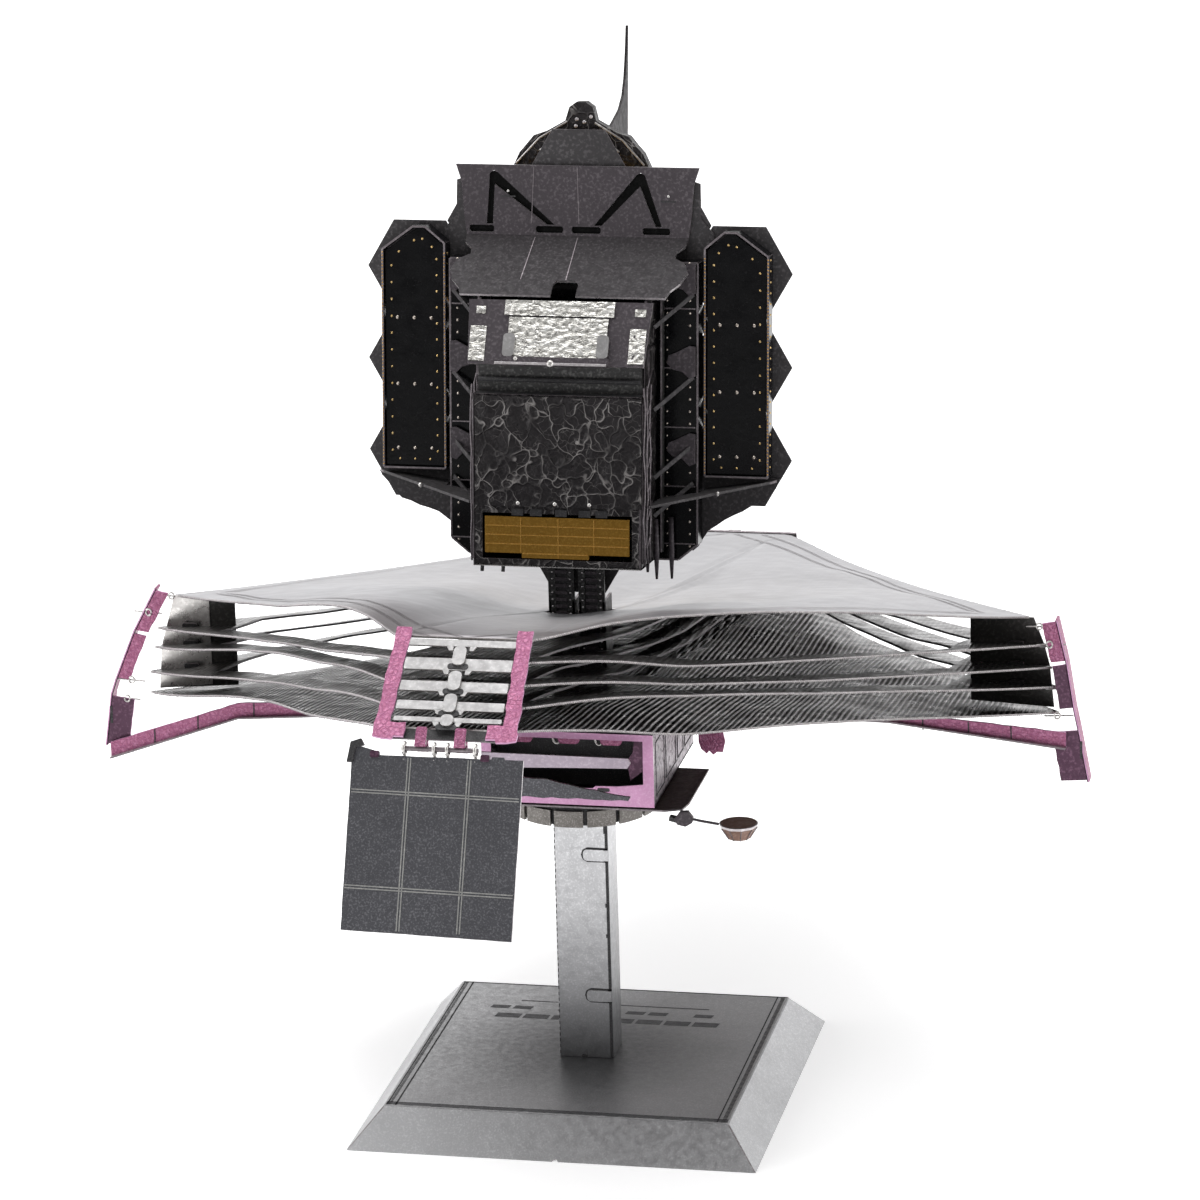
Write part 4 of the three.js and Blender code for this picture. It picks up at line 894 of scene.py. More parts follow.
def build_tail():
    """The slanting frame that holds the sheets at the rear, down to the hinge lugs."""
    rails = Piece("tail_rails")
    inner = TAIL_HALF - RAIL_WIDTH
    rail = [
        (TAIL_HALF - 0.3, 0.3), (inner - 0.3, 0.3), (inner, -TAIL_LENGTH + 1.7),
        (inner - 1.7, -TAIL_LENGTH + 1.7), (inner - 1.7, -TAIL_LENGTH - 0.1),
        (inner - 0.6, -TAIL_LENGTH - 0.1), (inner - 0.5, -TAIL_LENGTH - 0.5),
        (TAIL_HALF, -TAIL_LENGTH - 0.2),
    ]
    for outline, seed in ((rail, 1), (mirrored(rail), 2)):
        rails.sheet(ragged(outline, 0.8, 0.22, seed), SHEET, TAIL, PINK, LILAC)
    rails.done(replaces=["tail_rail_right", "tail_rail_left"], slot="pink_metal", bevel=0.04)

    ladder = Piece("tail_rungs")
    half = inner - 0.25
    rungs = [(-1.15, -2.05), (-3.65, -5.2), (-6.7, -8.0), (-9.3, -10.45), (-11.4, -12.0)]
    for high, low in rungs:
        ladder.sheet(rounded(-half, low, half, high, 0.12, 2), THIN, TAIL, SILVER, WHITE_EDGE)
        for sign in (1, -1):
            ear = [(sign * 0.9, low + 0.1), (sign * 1.7, low + 0.1), (sign * 1.35, low - 0.55),
                   (sign * 0.9, low - 0.55)]
            ladder.sheet(ear if sign > 0 else ear[::-1], THIN, TAIL, SILVER, WHITE_EDGE)
    # A dark plate behind the foot of the ladder: painted shade in the gaps at the hinge.
    behind = lifted(TAIL, -0.6)
    ladder.sheet(rect(-half, -TAIL_LENGTH, half, -TAIL_LENGTH + 1.5), THIN, behind, DARK_GROOVE_AND_SHADE, DIM_EDGE)
    raised = lifted(TAIL, 0.3)
    for high, low in ((-2.2, -4.7), (-5.5, -8.0), (-8.5, -10.9), (-11.2, -12.7)):
        ladder.sheet(rounded(-0.72, low, 0.72, high, 0.6), 0.34, raised, SILVER, WHITE_EDGE)
        ladder.sheet(rounded(-1.15, low - 0.35, 1.15, low + 0.35, 0.3), 0.1, lifted(TAIL, 0.15),
                     DARK_GROOVE_AND_SHADE)
    ladder.done(replaces=["tail_ladder"], slot="silver_film", bevel=0.08)

    lugs = Piece("flap_lugs")
    for x in (-2.4, 1.9):
        top = HINGE.z + 0.4
        strap = [(HINGE.y - 0.45, top), (HINGE.y + 0.75, top), (HINGE.y + 0.75, HINGE.z - 0.6),
                 (HINGE.y + 1.0, HINGE.z - 0.6), (HINGE.y + 1.0, top + 0.25), (HINGE.y - 0.45, top + 0.25)]
        lugs.sheet(strap, 1.25, sideways(x), PINK, PINK)
        lugs.sheet(rounded(-0.62, -1.9, 0.62, 0.2, 0.25), 0.24,
                   frame_at((x, HINGE.y + 0.75, HINGE.z + 2.0), (1, 0, 0), (0, 0.6, 0.8)), PINK, WHITE_EDGE)
    lugs.done(replaces=["flap_lug_left", "flap_lug_right"], slot="pink_metal", bevel=0.06)
    finish_node("flap_hinge_bar", DIM_EDGE)


def build_flap():
    """The hanging flap with its etched grid and its hinge loops."""
    down = Vector((0, -math.sin(FLAP_ANGLE), -math.cos(FLAP_ANGLE)))
    place = frame_at((FLAP_SHIFT, HINGE.y, HINGE.z), (1, 0, 0), -down)
    half, start = FLAP_WIDTH / 2, 0.85
    end = FLAP_LENGTH + start
    panel = Piece("flap_panel")
    outline = [
        (-half + 0.1, -end + 1.3), (half, -end + 0.85), (half, -start), (half - 2.0, -start),
        (half - 2.1, -start + 0.25), (half - 3.4, -start + 0.25), (half - 3.5, -start),
        (-half + 2.6, -start), (-half + 2.4, -start + 0.5), (-half + 1.2, -start + 0.8),
        (-half, -start + 0.9),
    ]
    panel.sheet(ragged(outline, 1.4, 0.05, 6), SHEET, place, SLATE, CUT_EDGE)
    bent = [(-half - 0.5, -start - 0.9), (-half - 0.2, -start + 1.3), (-half + 0.9, -start + 1.7),
            (-half + 1.3, -start + 1.0), (-half + 0.4, -start + 0.7), (-half + 0.15, -start - 0.9)]
    panel.sheet(bent, 0.6, lifted(place, 0.05), DARK_GROOVE_AND_SHADE, DIM_EDGE)
    panel.done("flap", replaces=["momentum_flap"], slot="slate_plate", bevel=0.05)

    grid = Piece("flap_grid_lines")
    width, gap = 0.13, 0.3
    for side in (1, -1):
        face = lifted(place, side * (SHEET / 2 + 0.015))
        for x in (-3.05, 3.55):
            for shift in (-gap / 2, gap / 2):
                at = x + shift
                grid.sheet(rect(at - width / 2, -end + 1.4, at + width / 2, -start - 0.2), 0.035, face,
                           FLAP_LINE)
        for s in (-4.95, -15.25):
            for shift in (-gap / 2, gap / 2):
                at = s + shift
                left, right, low, high = -half + 0.2, half - 0.2, at - width / 2, at + width / 2
                slant = 0.17
                grid.sheet([(left, low + slant), (right, low - slant), (right, high - slant),
                            (left, high + slant)],
                           0.035, face, FLAP_LINE)
    grid.done("flap", slot="slate_plate")

    loops = Piece("flap_loops")
    for x in (-4.2, -0.9, 0.55, 3.6):
        arc = []
        for k in range(13):
            a = FLAP_ANGLE + math.pi * (-0.55 + 1.7 * k / 12)
            arc.append((x, HINGE.y - 0.6 * math.sin(a), HINGE.z - 0.6 * math.cos(a)))
        loops.rod([(x, HINGE.y + down.y * 1.3, HINGE.z + down.z * 1.3), *arc], 0.2, WHITE_EDGE)
    for x in (-6.9, 5.2):
        loops.sheet(rounded(x - 0.5, -start - 0.3, x + 0.5, -start + 0.45, 0.2), 0.5, place, PLUM, DIM_EDGE)
    loops.done("flap", slot="silver_film")


# ---------------------------------------------------------------- sunshield

# The sheets are pulled out of flat along their edges, as in the CAD: from the tail to the side tip
# along the aft edge, and from the tip to the bow along the forward one.
AFT_AT = (0, 0.15, 0.3, 0.55, 1)
FORWARD_AT = (0, 0.35, 0.7, 1)
EDGE_LIFT = {
    "right": {
        "aft": [
            (0.2, 1.35, 1.6, 0.9, -1.7),
            (0.2, -0.4, -1.8, -2.4, -2.9),
            (0.2, -0.3, -1.5, -2.6, -3.6),
            (0.2, 0.3, -0.4, -1.8, -3.9),
            (0.2, -0.8, -2.4, -3.0, -5.0),
        ],
        "forward": [
            (-1.7, -1.8, -1.2, 0.0),
            (-2.9, -3.8, -3.2, -0.5),
            (-3.6, -4.0, -3.3, -0.5),
            (-3.9, -4.1, -3.5, -0.5),
            (-5.0, -4.2, -3.9, -0.8),
        ],
    },
    "left": {
        "aft": [
            (0.2, 1.5, 1.4, -0.6, -2.7),
            (0.2, -0.6, -1.5, -2.6, -4.8),
            (0.2, 0.2, -0.5, -1.6, -5.2),
            (0.2, -0.2, -1.3, -2.9, -6.3),
            (0.2, -0.8, -1.9, -2.8, -6.9),
        ],
        "forward": [
            (-2.7, -1.7, -0.4, 0.0),
            (-4.8, -4.2, -2.4, -0.5),
            (-5.2, -4.2, -2.5, -0.5),
            (-6.3, -4.0, -2.6, -0.5),
            (-6.9, -6.1, -3.6, -0.8),
        ],
    },
}
SAG, SAG_HALF_WIDTH = 3.0, 30.0
OPEN_LAYERS = (1, 2, 3)
OPENING_INNER, OPENING_OUTER, AFT_STRIP, FORWARD_STRIP = 7.0, 44.3, 4.6, 5.2
HOLE_HALF, HOLE_AFT, HOLE_FORWARD = 3.9, -1.4, 3.7


def tail_point(i):
    """Where layer i starts at the tail frame: its Y and Z."""
    along = 0.7 + 3.0 * i
    behind = 0.6
    run = TAIL_RUN.normalized()
    return TAIL_HEAD.y + run.y * along - run.z * behind, TAIL_HEAD.z + run.z * along + run.y * behind


def lerp(a, b, t):
    """The value a share t of the way from a to b."""
    return a + (b - a) * t


def value_at(shares, values, share):
    """A value between the given ones, eased so that the edge has no corners."""
    k = next((n for n, s in enumerate(shares) if share <= s), len(shares) - 1)
    k = max(k, 1)
    t = (share - shares[k - 1]) / (shares[k] - shares[k - 1])
    before = values[k] - values[k - 1]
    ahead = values[min(k + 1, len(values) - 1)] - values[k]
    behind = values[k - 1] - values[max(k - 2, 0)]
    m0, m1 = (before + behind) / 2, (before + ahead) / 2
    return ((2 * t ** 3 - 3 * t ** 2 + 1) * values[k - 1] + (t ** 3 - 2 * t ** 2 + t) * m0
            + (3 * t ** 2 - 2 * t ** 3) * values[k] + (t ** 3 - t ** 2) * m1)


def half_width(i, y):
    """Half of layer i's width at y."""
    tail_y, _ = tail_point(i)
    bow_y = BOW_Y + i
    if y <= TIP_Y[i]:
        t, end = (y - tail_y) / (TIP_Y[i] - tail_y), TAIL_WIDTH_HALF
    else:
        t, end = (bow_y - y) / (bow_y - TIP_Y[i]), BOW_WIDTH_HALF
    return end + (TIP_X[i] - end) * t - 1.2 * math.sin(math.pi * t)


def edge_share(i, x, end):
    """The share of an edge's run, from its narrow end to the side tip, at x."""
    share = 0.0
    for _ in range(4):
        share = (abs(x) - end + 1.2 * math.sin(math.pi * share)) / (TIP_X[i] - end)
        share = min(max(share, 0.0), 1.0)
    return share


def layer_height(i, x, y):
    """The height of layer i's middle surface over a point of its plan."""
    tail_y, tail_z = tail_point(i)
    bow_y, bow_z = BOW_Y + i, BOW_Z - 2.0 * i
    lift = EDGE_LIFT["right" if x > 0 else "left"]
    aft = edge_share(i, x, TAIL_WIDTH_HALF)
    forward = edge_share(i, x, BOW_WIDTH_HALF)
    aft_y, forward_y = lerp(tail_y, TIP_Y[i], aft), lerp(bow_y, TIP_Y[i], forward)
    slope = (bow_z - tail_z) / (bow_y - tail_y)
    aft_z = tail_z + slope * (aft_y - tail_y) + value_at(AFT_AT, lift["aft"][i], aft)
    forward_z = (tail_z + slope * (forward_y - tail_y)
                 + value_at(FORWARD_AT, lift["forward"][i], 1 - forward))
    share = min(max((y - aft_y) / max(forward_y - aft_y, 0.001), 0.0), 1.0)
    depth = SAG * max(0.0, 1 - abs(x) / SAG_HALF_WIDTH)
    rise = 4 * share * (1 - share)
    ripple = (0.45 * noise.noise(Vector((x / 15, y / 22, 3.7 * i)))
              + 0.14 * noise.noise(Vector((x / 5, y / 11, 9.1 * i)))) * min(1.0, 2 * rise)
    return lerp(aft_z, forward_z, share) - depth * rise ** 2.5 + ripple


def layer_stations(i, x):
    """Where layer i begins, opens, closes and ends along the line at x, from aft to forward."""
    across = abs(x)
    tail_y, _ = tail_point(i)
    bow_y = BOW_Y + i
    start = lerp(tail_y, TIP_Y[i], edge_share(i, across, TAIL_WIDTH_HALF))
    end = lerp(bow_y, TIP_Y[i], edge_share(i, across, BOW_WIDTH_HALF))
    if across <= HOLE_HALF:
        return start, HOLE_AFT, HOLE_FORWARD, end
    strips = max(across, OPENING_INNER)
    first = lerp(tail_y, TIP_Y[i], edge_share(i, strips + AFT_STRIP, TAIL_WIDTH_HALF))
    last = lerp(bow_y, TIP_Y[i], edge_share(i, strips + FORWARD_STRIP, BOW_WIDTH_HALF))
    if across < OPENING_INNER:
        t = (across - HOLE_HALF) / (OPENING_INNER - HOLE_HALF)
        return start, lerp(HOLE_AFT, first, t), lerp(HOLE_FORWARD, last, t), end
    middle, margin = (start + end) / 2, 0.06 * (end - start)
    return start, min(first, middle - margin), max(last, middle + margin), end


def build_layer(i):
    """One thin sheet of the sunshield, with its opening where it has one."""
    piece = Piece(f"shield_layer_{i + 1}")
    marks = [0, HOLE_HALF, OPENING_INNER, 12, 20, 30, OPENING_OUTER, 49, TIP_X[i] - 0.02]
    counts = [3, 2, 4, 6, 8, 11, 5, 5]
    half = [lerp(a, b, k / n) for (a, b), n in zip(zip(marks, marks[1:]), counts)
            for k in range(n)] + [marks[-1]]
    xs = [-x for x in reversed(half[1:])] + half
    rows = (14, 40, 14)
    plan = []
    for x in xs:
        stations = layer_stations(i, x)
        line = [(x, lerp(a, b, k / n)) for (a, b), n in zip(zip(stations, stations[1:]), rows)
                for k in range(n)]
        plan.append(line + [(x, stations[-1])])
    # Painted shade: the lower layers' tops take darker films than the top layer, the undersides darker
    # films still.
    upper = FILM_TOP if i == 0 else (FILM_RIBBED if i == 4 else FILM_STRIP)
    lower = FILM_RIBBED if i in (0, 4) else FILM_UNDER
    top, low = ([[piece.point((x, y, layer_height(i, x, y) + lift)) for x, y in line] for line in plan]
                for lift in (THIN / 2, -THIN / 2))

    def kept(c, r):
        if not (0 <= c < len(xs) - 1 and 0 <= r < sum(rows)):
            return False
        across = abs(xs[c] + xs[c + 1]) / 2
        inside = rows[0] <= r < rows[0] + rows[1]
        open_here = i in OPEN_LAYERS and OPENING_INNER < across < OPENING_OUTER
        return not (inside and (across < HOLE_HALF or open_here))

    for c in range(len(xs) - 1):
        for r in range(sum(rows)):
            if not kept(c, r):
                continue
            piece.face((top[c][r], top[c + 1][r], top[c + 1][r + 1], top[c][r + 1]), upper, True)
            piece.face((low[c][r], low[c][r + 1], low[c + 1][r + 1], low[c + 1][r]), lower, True)
            for dc, dr, c0, r0, c1, r1 in ((-1, 0, c, r + 1, c, r), (1, 0, c + 1, r, c + 1, r + 1),
                                           (0, -1, c, r, c + 1, r), (0, 1, c + 1, r + 1, c, r + 1)):
                if not kept(c + dc, r + dr):
                    edge = EDGE_GREY if r + dr < 0 else DIM_EDGE
                    piece.face((top[c0][r0], low[c0][r0], low[c1][r1], top[c1][r1]), edge)
    loose = [v for v in piece.bm.verts if not v.link_faces]
    bmesh.ops.delete(piece.bm, geom=loose, context="VERTS")
    piece.done(replaces=[f"sunshield_layer_{i + 1}"], slot="silver_film")


def bead_edges(i):
    """The fine teeth along a layer's edges, where it was snipped from its strip."""
    piece = Piece(f"shield_teeth_{i + 1}")
    tail_y, _ = tail_point(i)
    bow_y = BOW_Y + i
    pitch = 0.34
    rng = random.Random(40 + i)
    for sign in (1, -1):
        for y0, y1, spacing in ((tail_y + 0.3, TIP_Y[i] - 0.6, pitch),
                                (TIP_Y[i] + 0.6, bow_y - 0.3, 1.3 * pitch)):
            span = math.hypot(y1 - y0, half_width(i, y1) - half_width(i, y0))
            count = int(span / spacing)
            for k in range(count):
                y = y0 + (y1 - y0) * (k + 0.2 * rng.random()) / count
                x = sign * (half_width(i, y) - 0.02)
                z = layer_height(i, x, y)
                size = 0.1 + 0.04 * rng.random()
                tips = [piece.point(p) for p in (
                    (x + size, y, z), (x, y + size, z), (x - size, y, z), (x, y - size, z),
                    (x, y, z + size * 1.5), (x, y, z - size * 1.5),
                )]
                # Painted light: the upper faces of the aft teeth take the bright cut-edge finish, the lower
                # faces and the forward teeth the dim one as shade.
                for a in range(4):
                    b = (a + 1) % 4
                    piece.face((tips[a], tips[b], tips[4]), CUT_EDGE if y < TIP_Y[i] else DIM_EDGE, True)
                    piece.face((tips[b], tips[a], tips[5]), DIM_EDGE, True)
    piece.done(slot="silver_film")


def ribbon(piece, i, start, end, width, steps, material, lift=0.03):
    """A thin strip lying on layer i between two points of its plan."""
    run = Vector((end[0] - start[0], end[1] - start[1]))
    across = Vector((-run.y, run.x)).normalized() * (width / 2)
    rows = []
    for k in range(steps + 1):
        x, y = start[0] + run.x * k / steps, start[1] + run.y * k / steps
        pair = []
        for sign in (1, -1):
            px, py = x + across.x * sign, y + across.y * sign
            pair.append(piece.point((px, py, layer_height(i, px, py) + THIN / 2 + lift)))
        rows.append(pair)
    for (a, b), (c, d) in zip(rows, rows[1:]):
        made = piece.face((a, b, d, c), material, True)
        made.normal_update()
        if made.normal.z < 0:
            made.normal_flip()


def build_sunshield():
    """The five layers, the stripes on the top one, the spreaders and the bow rack."""
    for i in range(5):
        build_layer(i)
        bead_edges(i)

    stripes = Piece("shield_stripes")
    tail_y, _ = tail_point(0)
    for sign in (1, -1):
        tip = (sign * (TIP_X[0] - 4.5), TIP_Y[0])
        for u, spread in ((0.62, 1.0), (0.12, 2.3)):
            for gap in (0.0, 0.5):
                near_tip = (tip[0] - sign * (spread + gap), tip[1] - 1.0)
                far_tip = (tip[0] - sign * (spread + gap), tip[1] + 1.0)
                ribbon(stripes, 0, (sign * (TAIL_WIDTH_HALF * u - gap), tail_y + 0.6), near_tip, 0.16,
                       60, DIM_EDGE)
                ribbon(stripes, 0, (sign * (BOW_WIDTH_HALF * u - gap), BOW_Y - 2.0), far_tip, 0.16, 60,
                       DIM_EDGE)
    stripes.done(slot="silver_film")

    spreaders = Piece("side_spreaders")
    inner, y = 45.4, 10.6
    for sign in (1, -1):
        def z_at(i, x):
            return layer_height(i, sign * x, y)

        outline = [(inner, z_at(4, inner) + 0.4), (55.4, z_at(4, 55.4) + 0.4), (54.9, z_at(2, 54.9)),
                   (54.2, z_at(1, 54.2)), (53.0, z_at(0, 53.0) - 0.3), (inner, z_at(0, inner) - 0.3)]
        outline = on_side(outline, sign)
        spreaders.sheet(outline, SHEET, upright(y), SPREADER_GREY, DIM_EDGE)
        # On the left, a lighter plate over the spreader's outer end is painted light: the lit part of the
        # plate, the dark rest standing as its shade.
        if sign < 0:
            lit = [(max(x, -60.0) if x < -47 else -48.6, z) for x, z in outline]
            spreaders.sheet(lit, 0.1, upright(y - 0.22), WHITE_EDGE, DIM_EDGE)
        for i in (1, 2, 3):
            z = z_at(i, 50.8)
            tab = rounded(50.0, z + 0.1, 51.9, z + 0.75, 0.25)
            spreaders.sheet(on_side(tab, sign), 0.5, upright(y - 0.9), DARK_GROOVE_AND_SHADE, DIM_EDGE)
    spreaders.done(replaces=["spreader_right", "spreader_left"], slot="dark_foil", bevel=0.03)

    bow = Piece("bow_rack")
    run = Vector((0, -4, 8))
    height = run.length
    place = frame_at((0, BOW_Y + 0.7, BOW_Z), (1, 0, 0), run)
    half = 8.6
    holes = []
    for k in range(4):
        low = -height + height * k / 4 + 0.5
        holes.append(rect(-half + 1.4, low, half - 1.4, low + height / 4 - 1.0))
    bow.sheet(rect(-half, -height - 1.0, half, 0.2), SHEET, place, FILM_STRIP, DIM_EDGE, holes)
    for k in range(5):
        s = -height * k / 4
        bow.sheet(rounded(-0.9, s - 0.75, 0.9, s + 0.15, 0.3), 0.3, lifted(place, -0.25), SILVER)
    bow.done(replaces=["bow_frame"], slot="pink_metal", bevel=0.05)


# ---------------------------------------------------------------- side brackets and booms

def strip(path, width):
    """A band of even width along a path."""
    left, right = [], []
    for k, (x, z) in enumerate(path):
        before, after = path[max(k - 1, 0)], path[min(k + 1, len(path) - 1)]
        length = math.hypot(after[0] - before[0], after[1] - before[1])
        ax, az = (after[1] - before[1]) / length, -(after[0] - before[0]) / length
        left.append((x + ax * width / 2, z + az * width / 2))
        right.append((x - ax * width / 2, z - az * width / 2))
    return left + right[::-1]


def build_sides():
    """The bent channels at the two side tips and the booms that carry them."""
    sides = {
        "right": {
            "spine": [(56.0, 58.8), (57.2, 53.6), (58.1, 47.8), (58.6, 45.4), (59.8, 38.8)],
            "widths": (1.8, 1.7, 3.2),
            "boom": [(10.6, 47.0), (36.0, 46.8), (57.2, 45.1)],
            "depth": (0.7, 1.1, 1.9),
            "joints": (40.0, 45.5, 50.6),
        },
        "left": {
            "spine": [(54.6, 58.8), (57.6, 53.2), (60.2, 47.0), (60.9, 45.0), (61.9, 38.4)],
            "widths": (1.7, 1.6, 2.9),
            "boom": [(10.6, 46.8), (44.6, 44.7), (61.2, 39.0)],
            "depth": (1.6, 1.8, 1.9),
            "joints": (42.6, 49.8, 55.4),
        },
    }
    for name, facts in sides.items():
        sign = 1 if name == "right" else -1

        spine = facts["spine"]
        piece = Piece(f"side_channel_{name}")
        piece.sheet(on_side(strip(spine, SHEET), sign), 2.0, upright(SIDE_Y + 0.85),
                    PLUM if sign > 0 else DARK_GROOVE_AND_SHADE, PINK)
        flanges = [
            (spine[0], spine[1], facts["widths"][0], PINK),
            (spine[1], spine[2], facts["widths"][1], PINK if sign < 0 else PLUM),
            (spine[3], spine[4], facts["widths"][2], PLUM),
        ]
        for k, (a, b, width, material) in enumerate(flanges):
            top = (a[0] + (b[0] - a[0]) * 0.03, a[1] + (b[1] - a[1]) * 0.03)
            low = (a[0] + (b[0] - a[0]) * 0.96, a[1] + (b[1] - a[1]) * 0.96)
            outline = [(low[0] - width, low[1] - 0.25), (low[0], low[1]), (top[0], top[1]),
                       (top[0] - width, top[1] - 0.35)]
            piece.sheet(on_side(ragged(outline, 0.8, 0.12, 10 + k), sign), SHEET, upright(SIDE_Y),
                        material, LILAC)
        for a, b in zip(spine, spine[1:]):
            edge = [(a[0] - 0.02, a[1]), (a[0] + 0.14, a[1]), (b[0] + 0.14, b[1]), (b[0] - 0.02, b[1])]
            piece.sheet(on_side(edge[::-1], sign), 0.1, upright(SIDE_Y - 0.14), LILAC)
        for z in (58.0, 55.8, 47.0, 44.6):
            nearest = min(spine, key=lambda p: abs(p[1] - z))
            x = nearest[0] - 2.0
            piece.rod([(sign * (x - 1.6), SIDE_Y + 0.1, z - 0.2), (sign * (x + 1.9), SIDE_Y + 0.1, z)],
                      0.11, EDGE_GREY, 5)
            loop = [(sign * (x + 0.35 * math.cos(a)), SIDE_Y - 0.2, z + 0.42 * math.sin(a))
                    for a in [*turns(10), math.tau]]
            piece.rod(loop, 0.12, WHITE_EDGE, 6)
        slot_x, slot_z = spine[4][0] - 1.0, spine[4][1] + 4.0
        piece.sheet(on_side(rect(slot_x, slot_z - 1.1, slot_x + 0.3, slot_z + 1.1), sign), 0.06,
                    upright(SIDE_Y - SHEET / 2 - 0.03), DARK_GROOVE_AND_SHADE)
        piece.done(replaces=[f"side_bracket_{name}"], slot="pink_metal", bevel=0.04)

        boom = Piece(f"side_boom_{name}")
        top = facts["boom"]
        low = [(x, z - d) for (x, z), d in zip(top, facts["depth"])]
        boom.sheet(on_side(ragged(low + top[::-1], 1.2, 0.1, 21), sign), SHEET, upright(BOOM_Y), PINK,
                   LILAC)
        boom.sheet(on_side(strip(low, 0.22), sign), 0.9, upright(BOOM_Y - 0.3), DIM_EDGE, CUT_EDGE)

        def top_at(x):
            for (x0, z0), (x1, z1) in zip(top, top[1:]):
                if x <= x1:
                    return z0 + (z1 - z0) * (x - x0) / (x1 - x0)
            return top[-1][1]

        for x in facts["joints"]:
            z = top_at(x)
            boom.sheet(on_side([(x, z - 1.8), (x + 0.16, z - 1.8), (x + 0.1, z - 0.05),
                                (x - 0.06, z - 0.05)], sign), 0.06,
                       upright(BOOM_Y - SHEET / 2 - 0.03), DARK_GROOVE_AND_SHADE)
        boom.done(replaces=[f"mid_boom_{name}"], slot="pink_metal", bevel=0.05)


# ---------------------------------------------------------------- tower

def build_tower():
    """The two riveted columns between the bus and the telescope."""
    piece = Piece("tower_columns")
    rear, front, low, high = -0.9, 3.2, 48.4, 61.8
    for sign in (1, -1):
        inner, outer = 0.25, 3.4
        post = (rect(inner, rear, inner + 0.8, rear + 0.5) if sign > 0
                else rect(-inner - 0.8, rear, -inner, rear + 0.5))
        piece.sheet(post, high - low + 4.6, level((high + low) / 2 + 2.3), TOWER_DARK)
        post = (rect(outer - 0.9, rear, outer, rear + 0.5) if sign > 0
                else rect(-outer, rear, -outer + 0.9, rear + 0.5))
        piece.sheet(post, high - low + 4.6, level((high + low) / 2 + 2.3), TOWER_DARK)
        wall = rect(rear, low, front, high)
        piece.sheet(wall, SHEET, sideways(sign * (outer - SHEET / 2)), TOWER_DARK, DIM_EDGE)
        piece.sheet(wall, SHEET, sideways(sign * (inner + SHEET / 2)), TOWER_DARK, DIM_EDGE)
        a, b = sorted((sign * (inner + 0.1), sign * (outer - 0.1)))
        piece.sheet(rect(a, low, b, high + 4.5), 0.2, upright(rear + 0.35), DARK_GROOVE_AND_SHADE)
        z = low + 0.6
        while z < high + 4:
            piece.sheet(rounded(a + 0.75, z, b - 0.75, z + 0.42, 0.1, 2), 0.3, upright(rear + 0.15),
                        PLATE_GREY, DIM_EDGE)
            for x in (a + 0.4, b - 0.4):
                piece.dome((x, rear - 0.02, z + 0.2), 0.12, REARWARD, CUT_EDGE)
            z += 0.85
    piece.done(replaces=["tower_right", "tower_left"], slot="dark_foil", bevel=0.03)


# ---------------------------------------------------------------- mirror

def hexagon(column, offset, side):
    """One mirror segment, by its column and its place in the column."""
    return [(column * 1.5 * HEX_SIDE + side * math.cos(math.pi / 3 * k),
             offset * HEX_PITCH + side * math.sin(math.pi / 3 * k)) for k in range(6)]


def build_mirror():
    """The eighteen gilt segments and the cone at their centre."""
    groups = {
        "primary_centre": ([(0, n) for n in (-2, -1, 1, 2)]
                           + [(s, n) for s in (-1, 1)
                              for n in (-1.5, -0.5, 0.5, 1.5)], 0.0, ["mirror_centre"]),
        "primary_wing_left": ([(-2, n) for n in (-1, 0, 1)], -0.14, ["mirror_wing_left"]),
        "primary_wing_right": ([(2, n) for n in (-1, 0, 1)], 0.14, ["mirror_wing_right"]),
    }
    for name, (segments, shift, nodes) in groups.items():
        piece = Piece(name, TELESCOPE @ Matrix.Translation((shift, 0, 0)))
        for column, offset in segments:
            piece.sheet(hexagon(column, offset, HEX_SIDE), 0.2, upright(-0.05), HEX_GREY, DIM_EDGE)
            piece.sheet(hexagon(column, offset, HEX_SIDE - 0.12), 0.16, upright(0.12), MIRROR, GOLD_LINE)
        piece.done(replaces=nodes, slot="gold_mirror", bevel=0.06)

    cone = Piece("aft_cone", TELESCOPE)
    profile = [(3.0, -0.1), (3.05, 0.3), (2.75, 0.6), (2.15, 6.5), (1.3, 12.4), (1.25, 12.9),
               (0.7, 12.9), (0.6, 12.2)]
    rings = cone.turned(profile, [DARK_FOIL] * len(profile), 28)
    cone.face(list(reversed(rings[-1])), DARK_GROOVE_AND_SHADE)
    cone.done(replaces=["aft_optics_cone"], slot="dark_foil")


# ---------------------------------------------------------------- backplane

